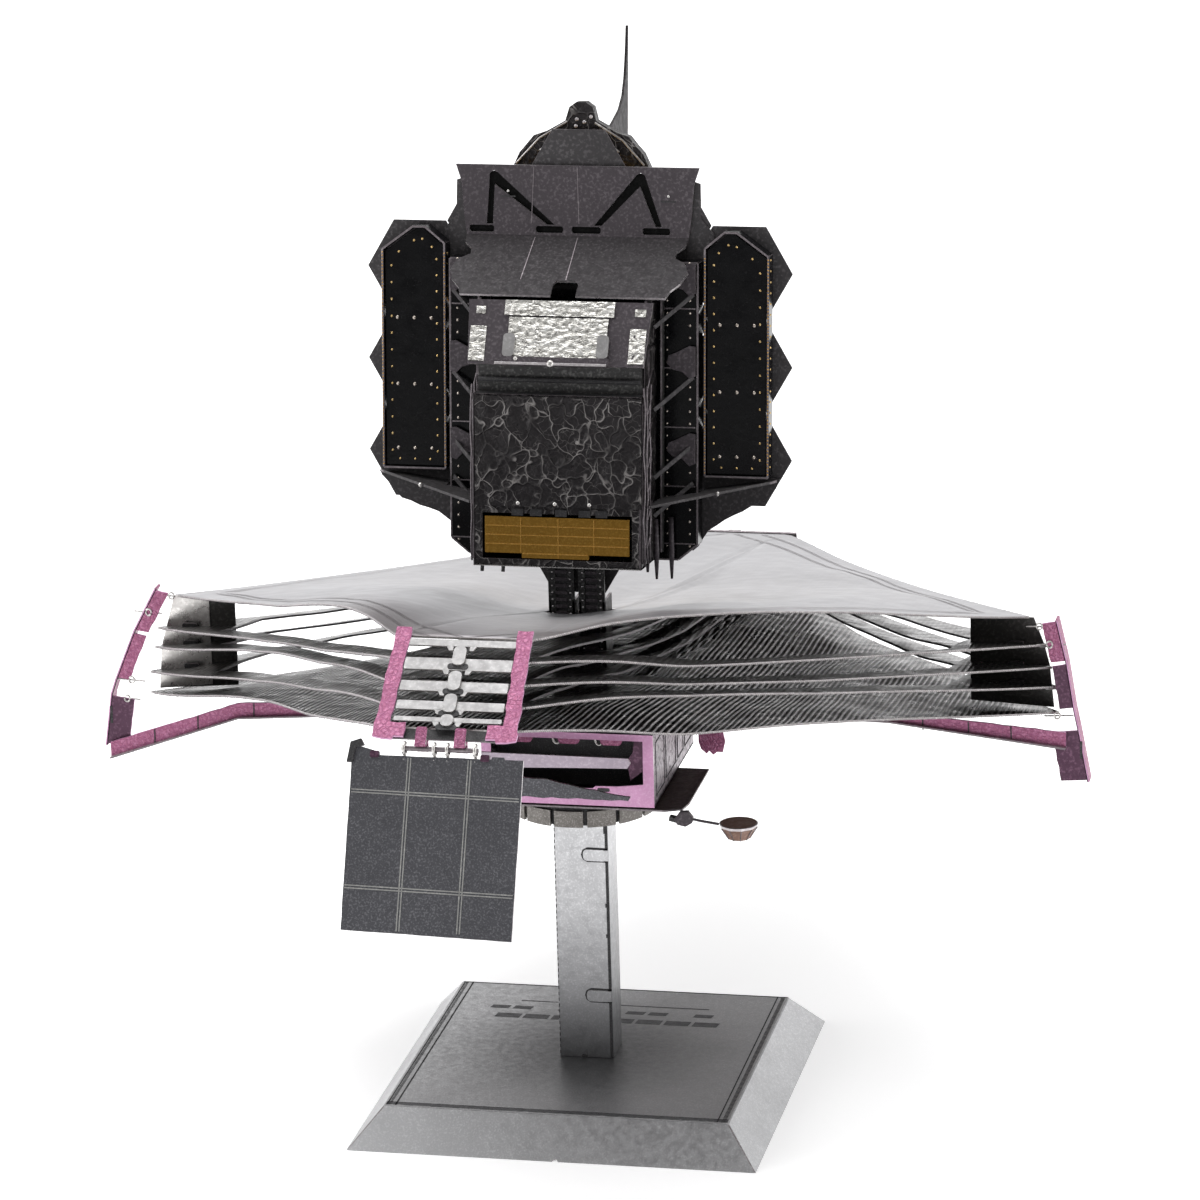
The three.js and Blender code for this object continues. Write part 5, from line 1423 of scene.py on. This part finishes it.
def build_backplane():
    """The box behind the centre segments, its latches, its skirts and the wings."""
    half, low, high, rear, front = 14.8, -22.6, 12.4, -3.3, -0.45

    def outline(inset):
        x = half - inset
        return [(x, low + 1.8), (x, high - inset), (-x, high - inset), (-x, low + 1.8),
                (-x + 2.2, low + inset), (x - 2.2, low + inset)]

    piece = Piece("backplane_box", TELESCOPE)
    piece.sheet(outline(0), SHEET, upright(rear + SHEET / 2), GLOSS, DIM_EDGE)
    ring = outline(0)
    for (x0, z0), (x1, z1) in zip(ring, ring[1:] + ring[:1]):
        piece.sheet(rect(0, 0, math.hypot(x1 - x0, z1 - z0), front - rear), SHEET,
                    frame_at((x0, rear, z0), (x1 - x0, 0, z1 - z0), (0, 1, 0)), GLOSS, DIM_EDGE)
    for sign in (1, -1):
        for k in range(24):
            z = -21.0 + k * 1.45
            piece.dome((sign * 13.9, rear - 0.02, z), 0.17, REARWARD, RIVET)
            piece.dome((sign * 11.2, rear - 0.02, z), 0.13, REARWARD, RIVET)
        for z in (-20.8, -14.0, -7.0, 0.0, 7.0, 11.8):
            x0, x1 = sorted((sign * 10.6, sign * 14.6))
            piece.sheet(rect(x0, z, x1, z + 0.18), 0.2, upright(rear - 0.08), DIM_EDGE)
    piece.done(replaces=["backplane_centre"], slot="gloss_black", bevel=0.05)

    latches = Piece("backplane_latches", TELESCOPE)
    for z in (-9.4, 0.9, 10.6):
        lobe = [(14.7, z + 1.8), (14.0, z + 1.9), (12.4, z + 1.1), (11.5, z + 0.7), (11.3, z - 0.2),
                (12.0, z - 0.9),
                (13.2, z - 1.2), (14.0, z - 2.0), (14.7, z - 1.7)]
        for shape in (lobe, mirrored(lobe)):
            latches.sheet(shape, 0.3, upright(rear - 0.6), PLATE_GREY, DIM_EDGE)
    for sign in (1, -1):
        for k, z in enumerate((-17.0, -12.5, -4.5, 5.2)):
            latches.bar((sign * 10.3, rear - 3.4, z), (sign * 14.4, rear - 0.4, z + 3.6), 0.5, 0.24,
                        HEX_GREY)
        latches.sheet(rect(-21.5, -2.0, 9.0, -0.6), 0.24,
                      frame_at((sign * 10.9, rear, 0), (0, 0, 1), (0, 1, 0)),
                      TOWER_DARK, DIM_EDGE)
    left = [(-24.2, -13.4), (-23.9, -14.0), (-21.5, -16.7), (-17.0, -18.2), (-15.5, -19.3),
            (-14.6, -21.6),
            (-13.8, -21.9), (-13.8, -12.9)]
    right = [(24.3, -13.1), (13.8, -12.9), (13.8, -22.0), (14.5, -21.4), (15.7, -19.5), (18.7, -17.6),
             (22.9, -15.4)]
    for k, skirt in enumerate((left, right)):
        latches.sheet(ragged(skirt, 1.1, 0.25, 60 + k), 0.24, upright(-0.62), HEX_GREY, DIM_EDGE)
    latches.done(slot="grey_plate", bevel=0.04)

    for name, sign in (("right", 1), ("left", -1)):
        build_wing_box(name, sign)


def build_wing_box(name, sign):
    """The riveted box behind one mirror wing and the shelf below it."""
    inner, outer, rear, front = 15.6, 23.1, -2.9, -0.45
    low, shoulder, apex_x, apex = -12.7, 13.3, 18.5, 16.0
    box = [(inner, low), (outer, low), (outer, shoulder), (apex_x + 0.9, apex), (apex_x - 0.6, apex),
           (inner, shoulder + 0.8)]

    def inset(points, amount):
        cx = sum(p[0] for p in points) / len(points)
        cz = sum(p[1] for p in points) / len(points)
        return [(x - math.copysign(amount, x - cx), z - math.copysign(amount, z - cz)) for x, z in points]

    piece = Piece(f"wing_box_plate_{name}", TELESCOPE)
    piece.sheet(on_side(inset(box, 0.25), sign), SHEET, upright(rear + 0.55), GLOSS, DIM_EDGE)
    ring = on_side(box, sign)
    for (x0, z0), (x1, z1) in zip(ring, ring[1:] + ring[:1]):
        length = math.hypot(x1 - x0, z1 - z0)
        piece.sheet(rect(0, 0, length, front - rear), 0.26,
                    frame_at((x0, rear, z0), (x1 - x0, 0, z1 - z0), (0, 1, 0)),
                    GLOSS, DIM_EDGE)
    piece.done(replaces=[f"wing_box_{name}"], slot="gloss_black", bevel=0.05)

    trim = Piece(f"wing_box_rivets_{name}", TELESCOPE)
    plate = rear + 0.38
    border = on_side(inset(box, 1.0), sign)
    for (x0, z0), (x1, z1) in zip(border, border[1:] + border[:1]):
        length = math.hypot(x1 - x0, z1 - z0)
        if length < 1.5:
            continue
        count = max(1, round(length / 1.95))
        for k in range(count):
            t = (k + 0.5) / count
            trim.dome((x0 + (x1 - x0) * t, plate, z0 + (z1 - z0) * t), 0.15, REARWARD, RIVET_GOLD)
    for z in (5.15, -2.75, -10.4):
        for x in (17.3, 19.35, 21.4):
            trim.dome((sign * x, plate, z), 0.23, REARWARD, RIVET)
    for k in range(20):
        z = -11.5 + k * 1.28
        trim.dome((sign * (inner - 0.14), (rear + front) / 2 - 0.3, z), 0.19, (-sign, 0, 0), RIVET_GOLD)
        trim.dome((sign * (outer + 0.14), (rear + front) / 2 - 0.3, z), 0.15, (sign, 0, 0), RIVET_GOLD)
    for k in range(64):
        z = low + 0.4 + 0.4 * k
        for x in (inner, outer):
            trim.dome((sign * x, rear - 0.02, z), 0.09, REARWARD, GOLD_LINE, 0.9, 6)
    trim.done(slot="gloss_black")

    shelf = Piece(f"wing_shelf_{name}", TELESCOPE)
    x0, x1, z0, z1 = 10.6, 23.9, -15.3, -13.3
    slope = (z1 - z0) / (x1 - x0)
    stretch = math.hypot(1, slope)
    outline = [((x - x0) * stretch, y) for x, y in (
        (x0, -11.0), (x1 - 0.3, -1.9), (x1, -1.3), (x1, front), (15.3, front), (15.3, -3.9), (x0, -3.9))]
    place = frame_at((sign * x0, 0, z0), (1, 0, sign * slope), (0, 1, 0))
    # The shelf takes the lighter grey: painted light in place of its shade.
    shelf.sheet(on_side(outline, sign), SHEET, place, SHELF_GREY, DIM_EDGE)
    length = (x1 - x0) * stretch
    lip = [(0.2, -0.16), (length - 0.3, -0.16), (length - 0.3, 0.16), (0.2, 0.16)]
    edge_run = Vector((sign * (x1 - x0 - 0.3), 9.1, z1 - z0))
    edge = frame_at((sign * x0, -11.1, z0), edge_run, (0, 0, 1))
    shelf.sheet([(x * edge_run.length / length, y) for x, y in lip], 0.12, edge, SHELF_GREY)
    shelf.dome((sign * 17.8, -6.3, (z0 + z1) / 2 + 0.1), 0.3, (sign * -0.5, -0.8, 0.2), WHITE_EDGE)
    shelf.done(replaces=[f"shelf_{name}"], slot="grey_plate", bevel=0.04)


# ---------------------------------------------------------------- instrument box

def build_instruments():
    """The foil-clad instrument box with its gilt louvres."""
    half, rear, front, low = 10.0, -12.6, -3.7, -22.5
    recess_high, recess_low = 1.0, -2.2
    recess = rear + 2.0
    box = Piece("instrument_shell", TELESCOPE)
    profile = [(rear, low), (front, low), (front, 12.2), (-9.0, 8.6), (recess, recess_high + 3.0),
               (recess, recess_high), (recess, recess_low), (rear, recess_low)]
    for sign in (1, -1):
        box.sheet(profile, SHEET, sideways(sign * (half - SHEET / 2)), DARK_FOIL, DIM_EDGE)
    box.sheet(rect(-half, rear, half, front), SHEET, level(low + SHEET / 2), DARK_FOIL, WHITE_EDGE)
    opening = rect(-8.9, -21.6, 8.9, -16.2)
    box.sheet(rect(-half, low, half, recess_low), SHEET, upright(rear + SHEET / 2), DARK_FOIL,
              DIM_EDGE, [opening])
    box.sheet(rect(-half, rear, half, recess), SHEET, level(recess_low - SHEET / 2), DARK_GROOVE_AND_SHADE, DIM_EDGE)
    box.sheet(rect(-half, recess_low, half, recess_high), SHEET, upright(recess + SHEET / 2), TOWER_DARK)
    box.rod([(-half + 0.4, recess - 0.5, -0.7), (half - 0.4, recess - 0.5, -0.7)], 0.28, DARK_GROOVE_AND_SHADE, 8)
    box.done(replaces=["instrument_box"], slot="dark_foil", bevel=0.04)

    foil = Piece("foil_blanket", TELESCOPE)
    columns, lines = 60, 42
    x0, x1, z0, z1 = -9.7, 10.1, -15.3, -2.4
    grid = []
    for r in range(lines + 1):
        row = []
        for c in range(columns + 1):
            x, z = x0 + (x1 - x0) * c / columns, z0 + (z1 - z0) * r / lines
            rim = min(c, columns - c, r, lines - r)
            swell = (0.28 * noise.noise(Vector((x / 2.3, z / 2.0, 1.3)))
                     + 0.14 * noise.noise(Vector((x, z, 4.0))))
            row.append(foil.point((x, rear - 0.35 + swell * min(1, rim / 3), z)))
        grid.append(row)
    foil.grid(grid, DARK_FOIL)
    for x in (-4.6, -0.2, 3.9):
        foil.dome((x, rear - 0.35, z0 + 0.35), 0.24, REARWARD, WHITE_EDGE)
    foil.done(replaces=["instrument_foil"], slot="dark_foil")

    sides = Piece("box_side_blankets", TELESCOPE)
    for sign in (1, -1):
        for y0, y1, z0, z1 in ((-12.3, -9.0, -21.8, -3.0), (-8.6, -4.2, -21.8, 3.0),
                               (-8.8, -4.2, 3.4, 8.0)):
            sides.sheet(rounded(y0, z0, y1, z1, 0.3), 0.16, sideways(sign * (half + 0.1)), DARK_FOIL,
                        DIM_EDGE)
        for y in (-12.2, -10.6, -8.8):
            path = []
            for k in range(9):
                z = -22.0 + 2.6 * k
                path.append((sign * (half + 0.28 + 0.1 * math.sin(2.1 * k + y)),
                             y + 0.22 * math.cos(1.7 * k), z))
            sides.rod(path, 0.13, DIM_EDGE, 6)
        for k in range(7):
            z = -20.0 + 3.1 * k
            sides.rod([(sign * (half + 0.3), -10.4, z), (sign * (half + 0.35), -8.0, z + 1.9)], 0.1,
                      DIM_EDGE, 5)
    for x, y, foot in ((10.35, -5.8, -24.6), (11.8, -4.0, -24.8), (9.5, -7.0, -23.6)):
        sides.rod([(x, y, -17.5), (x + 0.1, y, -21.5), (x + 0.15, y, foot)], [0.34, 0.38, 0.16],
                  PLATE_GREY, 6)
    for x in (-9.0, -6.5):
        sides.rod([(x, rear + 0.4, low + 0.2), (x - 0.05, rear + 0.4, low - 0.7)], 0.24, DARK_GROOVE_AND_SHADE, 6)
    sides.done(slot="dark_foil")

    gold = Piece("gold_louvres", TELESCOPE)
    z_low, z_high = -20.9, -16.6
    plane = rear + SHEET / 2
    outline = [(-8.6, z_low), (-4.2, z_low), (-4.2, z_low - 0.55), (3.8, z_low - 0.55), (3.8, z_low),
               (8.6, z_low),
               (8.6, z_high), (-8.6, z_high)]
    gold.sheet(outline, SHEET, upright(plane), GOLD, GOLD_LINE)
    for t in (0.25, 0.5, 0.75, 1.0):
        z = z_high + (z_low - z_high) * t
        gold.sheet(
            rect(-8.5, z - 0.07, 8.5, z + 0.07) if t < 1 else rect(-4.1, z - 0.07, 3.7, z + 0.07),
            0.08, upright(plane - SHEET / 2 - 0.03), GOLD_LINE)
    for x, bottom in ((-4.3, z_low + 0.1), (0.15, z_low - 0.5), (4.4, z_low + 0.1)):
        gold.sheet(rect(x - 0.05, bottom, x + 0.05, z_high - 0.1), 0.06,
                   upright(plane - SHEET / 2 - 0.03), GOLD_LINE)
    for k, x in enumerate((-5.4, -3.2, -0.2, 2.6, 4.6)):
        gold.sheet(rect(x, z_high + 0.15, x + 1.4, z_high + 0.95), 0.1, upright(rear - 0.02), DARK_GROOVE_AND_SHADE)
    gold.done(replaces=["gold_baffle"], slot="gold_plate", bevel=0.02)

    build_radiator()


def build_radiator():
    """The slanting panel above the box, with its crinkled silver foils."""
    top, foot = Vector((0, -9.9, 8.4)), Vector((0, -13.2, 1.3))
    run = top - foot
    length = run.length
    place = frame_at(foot, (1, 0, 0), run)
    panel = Piece("radiator_sheet", TELESCOPE)
    skirt = 10.9
    panel.sheet([(-skirt + 0.5, 0), (skirt - 0.5, 0), (skirt, length), (-skirt, length)], SHEET, place,
                PLATE_GREY, CUT_EDGE)
    lip = lifted(place, 0.5)
    panel.sheet(rounded(-6.4, -0.15, 6.4, 0.75, 0.2), 0.9, lip, PLATE_GREY, DIM_EDGE)
    panel.sheet(rect(-7.0, -0.3, 6.2, 0.0), 0.3, lifted(place, 1.0), CUT_EDGE)
    panel.dome(place @ Vector((-0.4, -0.1, 1.15)), 0.42, (0, -1, 0.3), WHITE_EDGE)
    panel.dome(place @ Vector((-4.6, 0.45, 1.0)), 0.26, (0, -1, 0.3), WHITE_EDGE)
    panel.done(replaces=["radiator_panel"], slot="grey_plate", bevel=0.05)

    foil = Piece("radiator_foils", TELESCOPE)

    def crumpled(x0, x1, s0, s1, lift, taper=0.0, seed=0.0):
        columns, lines = max(4, int((x1 - x0) * 5)), max(4, int((s1 - s0) * 5))
        grid = []
        for r in range(lines + 1):
            row = []
            t = r / lines
            for c in range(columns + 1):
                x = x0 + taper * (1 - t) + (x1 - x0 - 2 * taper * (1 - t)) * c / columns
                s = s0 + (s1 - s0) * t
                rim = min(c, columns - c, r, lines - r)
                swell = 0.16 * noise.noise(Vector((x * 1.6, s * 2.4, seed))) * min(1, rim)
                row.append(foil.point((x, s, lift + swell), place))
            grid.append(row)
        foil.grid(grid, BRIGHT_FOIL)

    crumpled(-6.5, 6.5, 5.9, 7.75, 0.42, 0.0, 1.0)
    crumpled(-5.9, 5.9, 0.9, 5.7, 0.4, 0.15, 2.0)
    crumpled(-10.4, -8.5, 0.35, 4.6, 0.22, 0.0, 3.0)
    crumpled(8.5, 10.4, 0.35, 4.6, 0.22, 0.0, 4.0)
    crumpled(-9.9, -8.8, 6.1, 7.0, 0.22, 0.0, 5.0)
    crumpled(8.9, 10.2, 6.1, 7.0, 0.22, 0.0, 6.0)
    for x in (-6.3, 4.8):
        foil.sheet(rounded(x, 0.8, x + 1.4, 3.6, 0.45), 0.3, lifted(place, 0.62), SILVER, WHITE_EDGE)
    foil.done(replaces=["radiator_foil"], slot="silver_foil")


# ---------------------------------------------------------------- visor, hood and peak

def build_visor():
    """The bent plate over the radiator, the hood above it and their seams."""
    y, top, fold_z, foot_y, foot_z = -0.75, 23.3, 15.0, -9.5, 8.9
    run = Vector((0, foot_y - y, foot_z - fold_z))
    length = run.length
    lower = frame_at((0, y, fold_z), (1, 0, 0), -run)
    upper = upright(y)
    piece = Piece("visor", TELESCOPE)
    upper_half = [(14.6, top), (13.9, top - 2.1), (13.7, 18.4), (13.5, 16.4), (13.3, fold_z)]

    def both(half):
        return [(-x, z) for x, z in half] + half[::-1]

    def chevron(apex, left, right, width=0.75):
        """Two slots meeting at the top, as an inverted V."""
        return [(left, 16.3), (left + width, 16.3), (apex + 0.1, 21.0), (right - 1.2 * width, 16.3),
                (right, 16.3),
                (apex + 0.5, 22.35), (apex, 22.6), (apex - 0.5, 22.3)]

    windows = [chevron(-10.0, -10.9, -2.7), mirrored(chevron(-7.6, -10.1, -2.0))]
    for x0, x1 in ((-13.0, -10.0), (-5.0, -1.7), (-0.7, 2.8), (7.8, 11.1)):
        windows.append(rounded(x0, 15.35, x1, 16.15, 0.3))
    piece.sheet(both(upper_half), SHEET, upper, PLATE_GREY, CUT_EDGE, windows)
    notch = [(-1.4, -length), (-1.4, -length + 2.0), (-1.1, -length + 2.6), (1.3, -length + 2.6),
             (1.6, -length + 2.0),
             (1.6, -length)]
    half_right = [(12.2, -length), (12.6, -length + 1.2), (13.6, -length + 2.6), (14.2, -6.2), (13.6, -4.6),
                  (12.2, -3.6), (12.3, -2.6), (13.2, -1.6), (13.3, 0.05)]
    outline = [(-12.2, -length), *notch, *half_right, *[(-x, z) for x, z in reversed(half_right)][:-1]]
    # The lower plate takes the darker copy of its grey: painted shade.
    piece.sheet(outline, SHEET, lower, SHADED_GREY_PLATE, CUT_EDGE)
    backing = rect(-12.9, fold_z + 0.2, 12.9, top - 0.8)
    # A black backing behind the slots: painted shade seen through them.
    piece.sheet(backing, 0.1, upright(y + 0.32), PAINTED_SHADE_BLACK)
    for side in (1, -1):
        gap = [(13.0, 12.2), (16.4, 12.2), (16.2, 15.6), (14.7, 17.2), (14.6, 21.4), (13.0, 21.9)]
        piece.sheet(on_side(gap, side), 0.2, upright(y + 0.5), HEX_GREY, DIM_EDGE)
    piece.rod([(-13.2, y - 0.02, fold_z), (13.2, y - 0.02, fold_z)], 0.15, PLATE_GREY, 8)
    piece.done(replaces=["visor_plate"], slot="grey_plate", bevel=0.05)

    lines = Piece("visor_seams", TELESCOPE)
    for x0, x1 in ((-5.5, -5.2), (0.2, 0.0)):
        lines.sheet([(x0 - 0.05, fold_z + 1.5), (x0 + 0.05, fold_z + 1.5), (x1 + 0.05, top - 0.2),
                     (x1 - 0.05, top - 0.2)],
                    0.04, upright(y - 0.16), DIM_EDGE)
    face = lifted(lower, 0.17)
    for x0, x1 in ((-5.4, -5.0), (0.0, 0.1)):
        lines.sheet([(x0 - 0.05, -length + 2.7), (x0 + 0.05, -length + 2.7), (x1 + 0.05, -0.5),
                     (x1 - 0.05, -0.5)],
                    0.04, face, DIM_EDGE)
    for x, z in ((10.9, 19.3), (-8.3, 19.6)):
        lines.sheet(rect(x - 0.9, z - 0.08, x + 0.9, z + 0.08), 0.08, upright(y - 0.2), DARK_GROOVE_AND_SHADE)
        lines.dome((x, y - 0.2, z + 0.6), 0.16, REARWARD, WHITE_EDGE)
    lines.done(slot="grey_plate")

    hood = Piece("hood_shell", TELESCOPE)
    depth = 1.8
    centre = 2.2
    skirt = [(-8.2, 22.9), (8.2, 22.9), (7.4, 24.6), (5.7, 26.6), (4.2, 27.1), (1.8, 28.4),
             (1.4, 30.0), (0.55, 30.6),
             (-0.55, 30.6), (-1.4, 30.0), (-1.9, 28.4), (-4.2, 27.1), (-5.7, 26.6), (-7.4, 24.6)]
    hood.sheet(ragged(skirt, 1.3, 0.12, 31), depth, upright(centre), DARK_FOIL, DARK_FOIL)
    rear = centre - depth / 2
    inner = [(-4.9, 23.2), (4.6, 23.2), (4.4, 24.9), (1.5, 27.2), (-1.2, 27.3), (-4.4, 25.0)]
    hood.sheet(inner, 0.2, upright(rear - 0.05), DARK_GROOVE_AND_SHADE, DIM_EDGE)
    for path in ([(-7.8, 23.3), (-5.0, 26.3), (-1.6, 28.3)], [(7.6, 23.3), (5.0, 26.2), (1.7, 28.2)],
                 [(-4.9, 24.9), (-1.3, 27.3)], [(4.6, 24.8), (1.5, 27.2)]):
        hood.rod([(x, rear - 0.15, z) for x, z in path], 0.13, EDGE_GREY, 6)
    rng = random.Random(5)
    for _ in range(26):
        x, z = -4.2 + 8.2 * rng.random(), 23.4 + 2.6 * rng.random()
        if abs(x) < 5.0 - (z - 23.4) * 1.3:
            hood.dome((x, rear - 0.15, z), 0.1 + 0.12 * rng.random(), (0, -1, 0.2), CUT_EDGE)
    for x, z in ((-0.5, 28.6), (0.4, 28.3), (-0.6, 27.8), (1.2, 28.9), (-2.3, 23.5)):
        hood.dome((x, rear - 0.1, z), 0.24, (0, -1, 0.3), CUT_EDGE)
    hood.done(replaces=["top_hood", "top_peak"], slot="dark_foil", bevel=0.06)


# ---------------------------------------------------------------- secondary mirror and struts

def build_front_optics():
    """The small front mirror, its three struts and the fin on the upper one."""
    y, radius = 55.7, 3.1
    piece = Piece("secondary_assembly", TELESCOPE)
    profile = [(0.4, y - 0.28), (radius - 0.3, y - 0.3), (radius, y - 0.2), (radius, y + 0.3),
               (1.9, y + 0.32),
               (1.3, y + 2.3), (0.4, y + 2.4)]
    rings = piece.turned(profile, [MIRROR, MIRROR, GOLD_LINE, PLATE_GREY, PLATE_GREY, PLATE_GREY], 36)
    piece.face(rings[0], MIRROR)
    piece.face(list(reversed(rings[-1])), PLATE_GREY)
    piece.done(replaces=["secondary_mirror"], slot="gold_mirror")

    struts = Piece("mirror_struts", TELESCOPE)
    top, end = (0, 3.8, 26.0), (0, y - 0.2, radius + 0.6)
    slope = (end[2] - top[2]) / (end[1] - top[1])

    def height_at(along):
        return top[2] + slope * (along - top[1])

    depth = 1.3
    web = [(top[1], top[2] - depth / 2), (end[1], end[2] - depth / 2), (end[1], end[2] + depth / 2),
           (top[1], top[2] + depth / 2)]
    fin = [(15.2, height_at(15.2)), (28.0, height_at(28.0)), (28.35, 37.7), (28.1, 37.7), (27.7, 35.4),
           (27.3, 33.6),
           (26.6, 31.4), (25.4, 29.4), (23.2, 27.9), (19.6, 26.8), (15.2, 25.7)]
    struts.sheet(web, SHEET, sideways(0), PLATE_GREY, CUT_EDGE)
    # The fin takes the darker grey too: painted shade.
    struts.sheet(fin, SHEET, sideways(0), SHADED_GREY_PLATE, SHADED_GREY_PLATE)
    struts.bar(top, end, SHEET, 1.4, PLATE_GREY, (1, 0, 0))
    for sign in (1, -1):
        start, stop = (sign * 15.4, 0.7, -16.3), (sign * (radius + 0.4), y - 0.2, -2.6)
        struts.bar(start, stop, 1.3, SHEET, PLATE_GREY)
        struts.bar(start, stop, SHEET, 1.3, PLATE_GREY)
    struts.done(replaces=["strut_upper", "strut_lower_right", "strut_lower_left"], slot="grey_plate",
                bevel=0.04)


# ---------------------------------------------------------------- camera, light and floor

AIM_POINT = Vector((0, 0, 64))
MODEL_CENTRE = (0, 0, 0.07)
FLOOR_GLOW = 0.44


def build_camera():
    """A long lens behind, to the right and a little above."""
    azimuth, elevation, roll = (math.radians(a) for a in (12.2, 16.84, -1.587))
    distance, slide, lift, focal_length = 650.7, 2.585, -2.276, 164.6
    back = Vector((math.sin(azimuth) * math.cos(elevation), -math.cos(azimuth) * math.cos(elevation),
                   math.sin(elevation)))
    right = Vector((math.cos(azimuth), math.sin(azimuth), 0))
    up = back.cross(right)
    aim = AIM_POINT + right * slide + up * lift
    turned_right = right * math.cos(roll) + up * math.sin(roll)
    turned_up = up * math.cos(roll) - right * math.sin(roll)
    data = bpy.data.cameras.new("camera")
    data.lens = focal_length
    data.sensor_width = 36.0
    data.clip_start, data.clip_end = 0.01, 20.0
    camera = bpy.data.objects.new("camera", data)
    turn = Matrix((turned_right, turned_up, back)).transposed().to_4x4()
    camera.matrix_world = Matrix.Translation((aim + back * distance) * MM) @ turn
    bpy.context.scene.collection.objects.link(camera)
    bpy.context.scene.camera = camera


def build_light():
    """A soft white studio: a graded sky, three soft boxes and a pale floor."""
    world = bpy.data.worlds.new("studio")
    bpy.context.scene.world = world
    world.use_nodes = True
    tree = world.node_tree
    background = tree.nodes["Background"]
    coords = tree.nodes.new("ShaderNodeTexCoord")
    split = tree.nodes.new("ShaderNodeSeparateXYZ")
    tree.links.new(coords.outputs["Generated"], split.inputs[0])
    ramp = tree.nodes.new("ShaderNodeMapRange")
    ramp.interpolation_type = "SMOOTHSTEP"
    for key, number in (("From Min", -0.9), ("From Max", 0.2), ("To Min", 0.36), ("To Max", 1.06)):
        ramp.inputs[key].default_value = number
    tree.links.new(split.outputs["Y"], ramp.inputs["Value"])
    tree.links.new(ramp.outputs["Result"], background.inputs["Strength"])
    background.inputs["Color"].default_value = (1, 1, 1, 1)

    def softbox(name, place, size, power):
        data = bpy.data.lights.new(name, "AREA")
        data.shape = "SQUARE"
        data.size = size
        data.energy = power
        lamp = bpy.data.objects.new(name, data)
        lamp.location = place
        lamp.rotation_mode = "QUATERNION"
        lamp.rotation_quaternion = (Vector(place) - Vector(MODEL_CENTRE)).to_track_quat("Z", "Y")
        bpy.context.scene.collection.objects.link(lamp)

    # name, place in metres, size in metres, watts
    for facts in (
        ("softbox_top", (-0.15, 0.1, 0.9), 0.7, 5.5),
        ("softbox_left", (-0.8, -0.35, 0.45), 0.5, 2.6),
        ("softbox_right", (0.9, -0.1, 0.4), 0.5, 1.2),
    ):
        softbox(*facts)

    floor = Piece("studio_floor")
    paper = Look("floor_paper", (0.92, 0.92, 0.925), 0.0, 0.75, 0.2)
    paper.tint(paper.ramp(paper.noise(0.01, 2.0), 0.3, 0.7, 0.0, 0.4), (0.9, 0.9, 0.905))
    paper.relief(paper.noise(0.8, 3.0), 0.01)
    paper.shader.inputs["Emission Color"].default_value = (1, 1, 1, 1)
    paper.shader.inputs["Emission Strength"].default_value = FLOOR_GLOW
    reach, thickness = 4000, 2.0
    floor.sheet(rect(-reach, -reach, reach, reach), thickness, level(-thickness / 2), paper.material)
    mesh_object = floor.make()


# ---------------------------------------------------------------- assembly

bpy.context.scene.view_settings.view_transform = "Standard"
build_camera()
build_light()
build_base()
build_post()
build_ring()
build_bus()
build_antenna()
build_tail()
build_flap()
build_sunshield()
build_sides()
build_tower()
build_mirror()
build_backplane()
build_instruments()
build_visor()
build_front_optics()
finish_node("base_floor", STEEL)
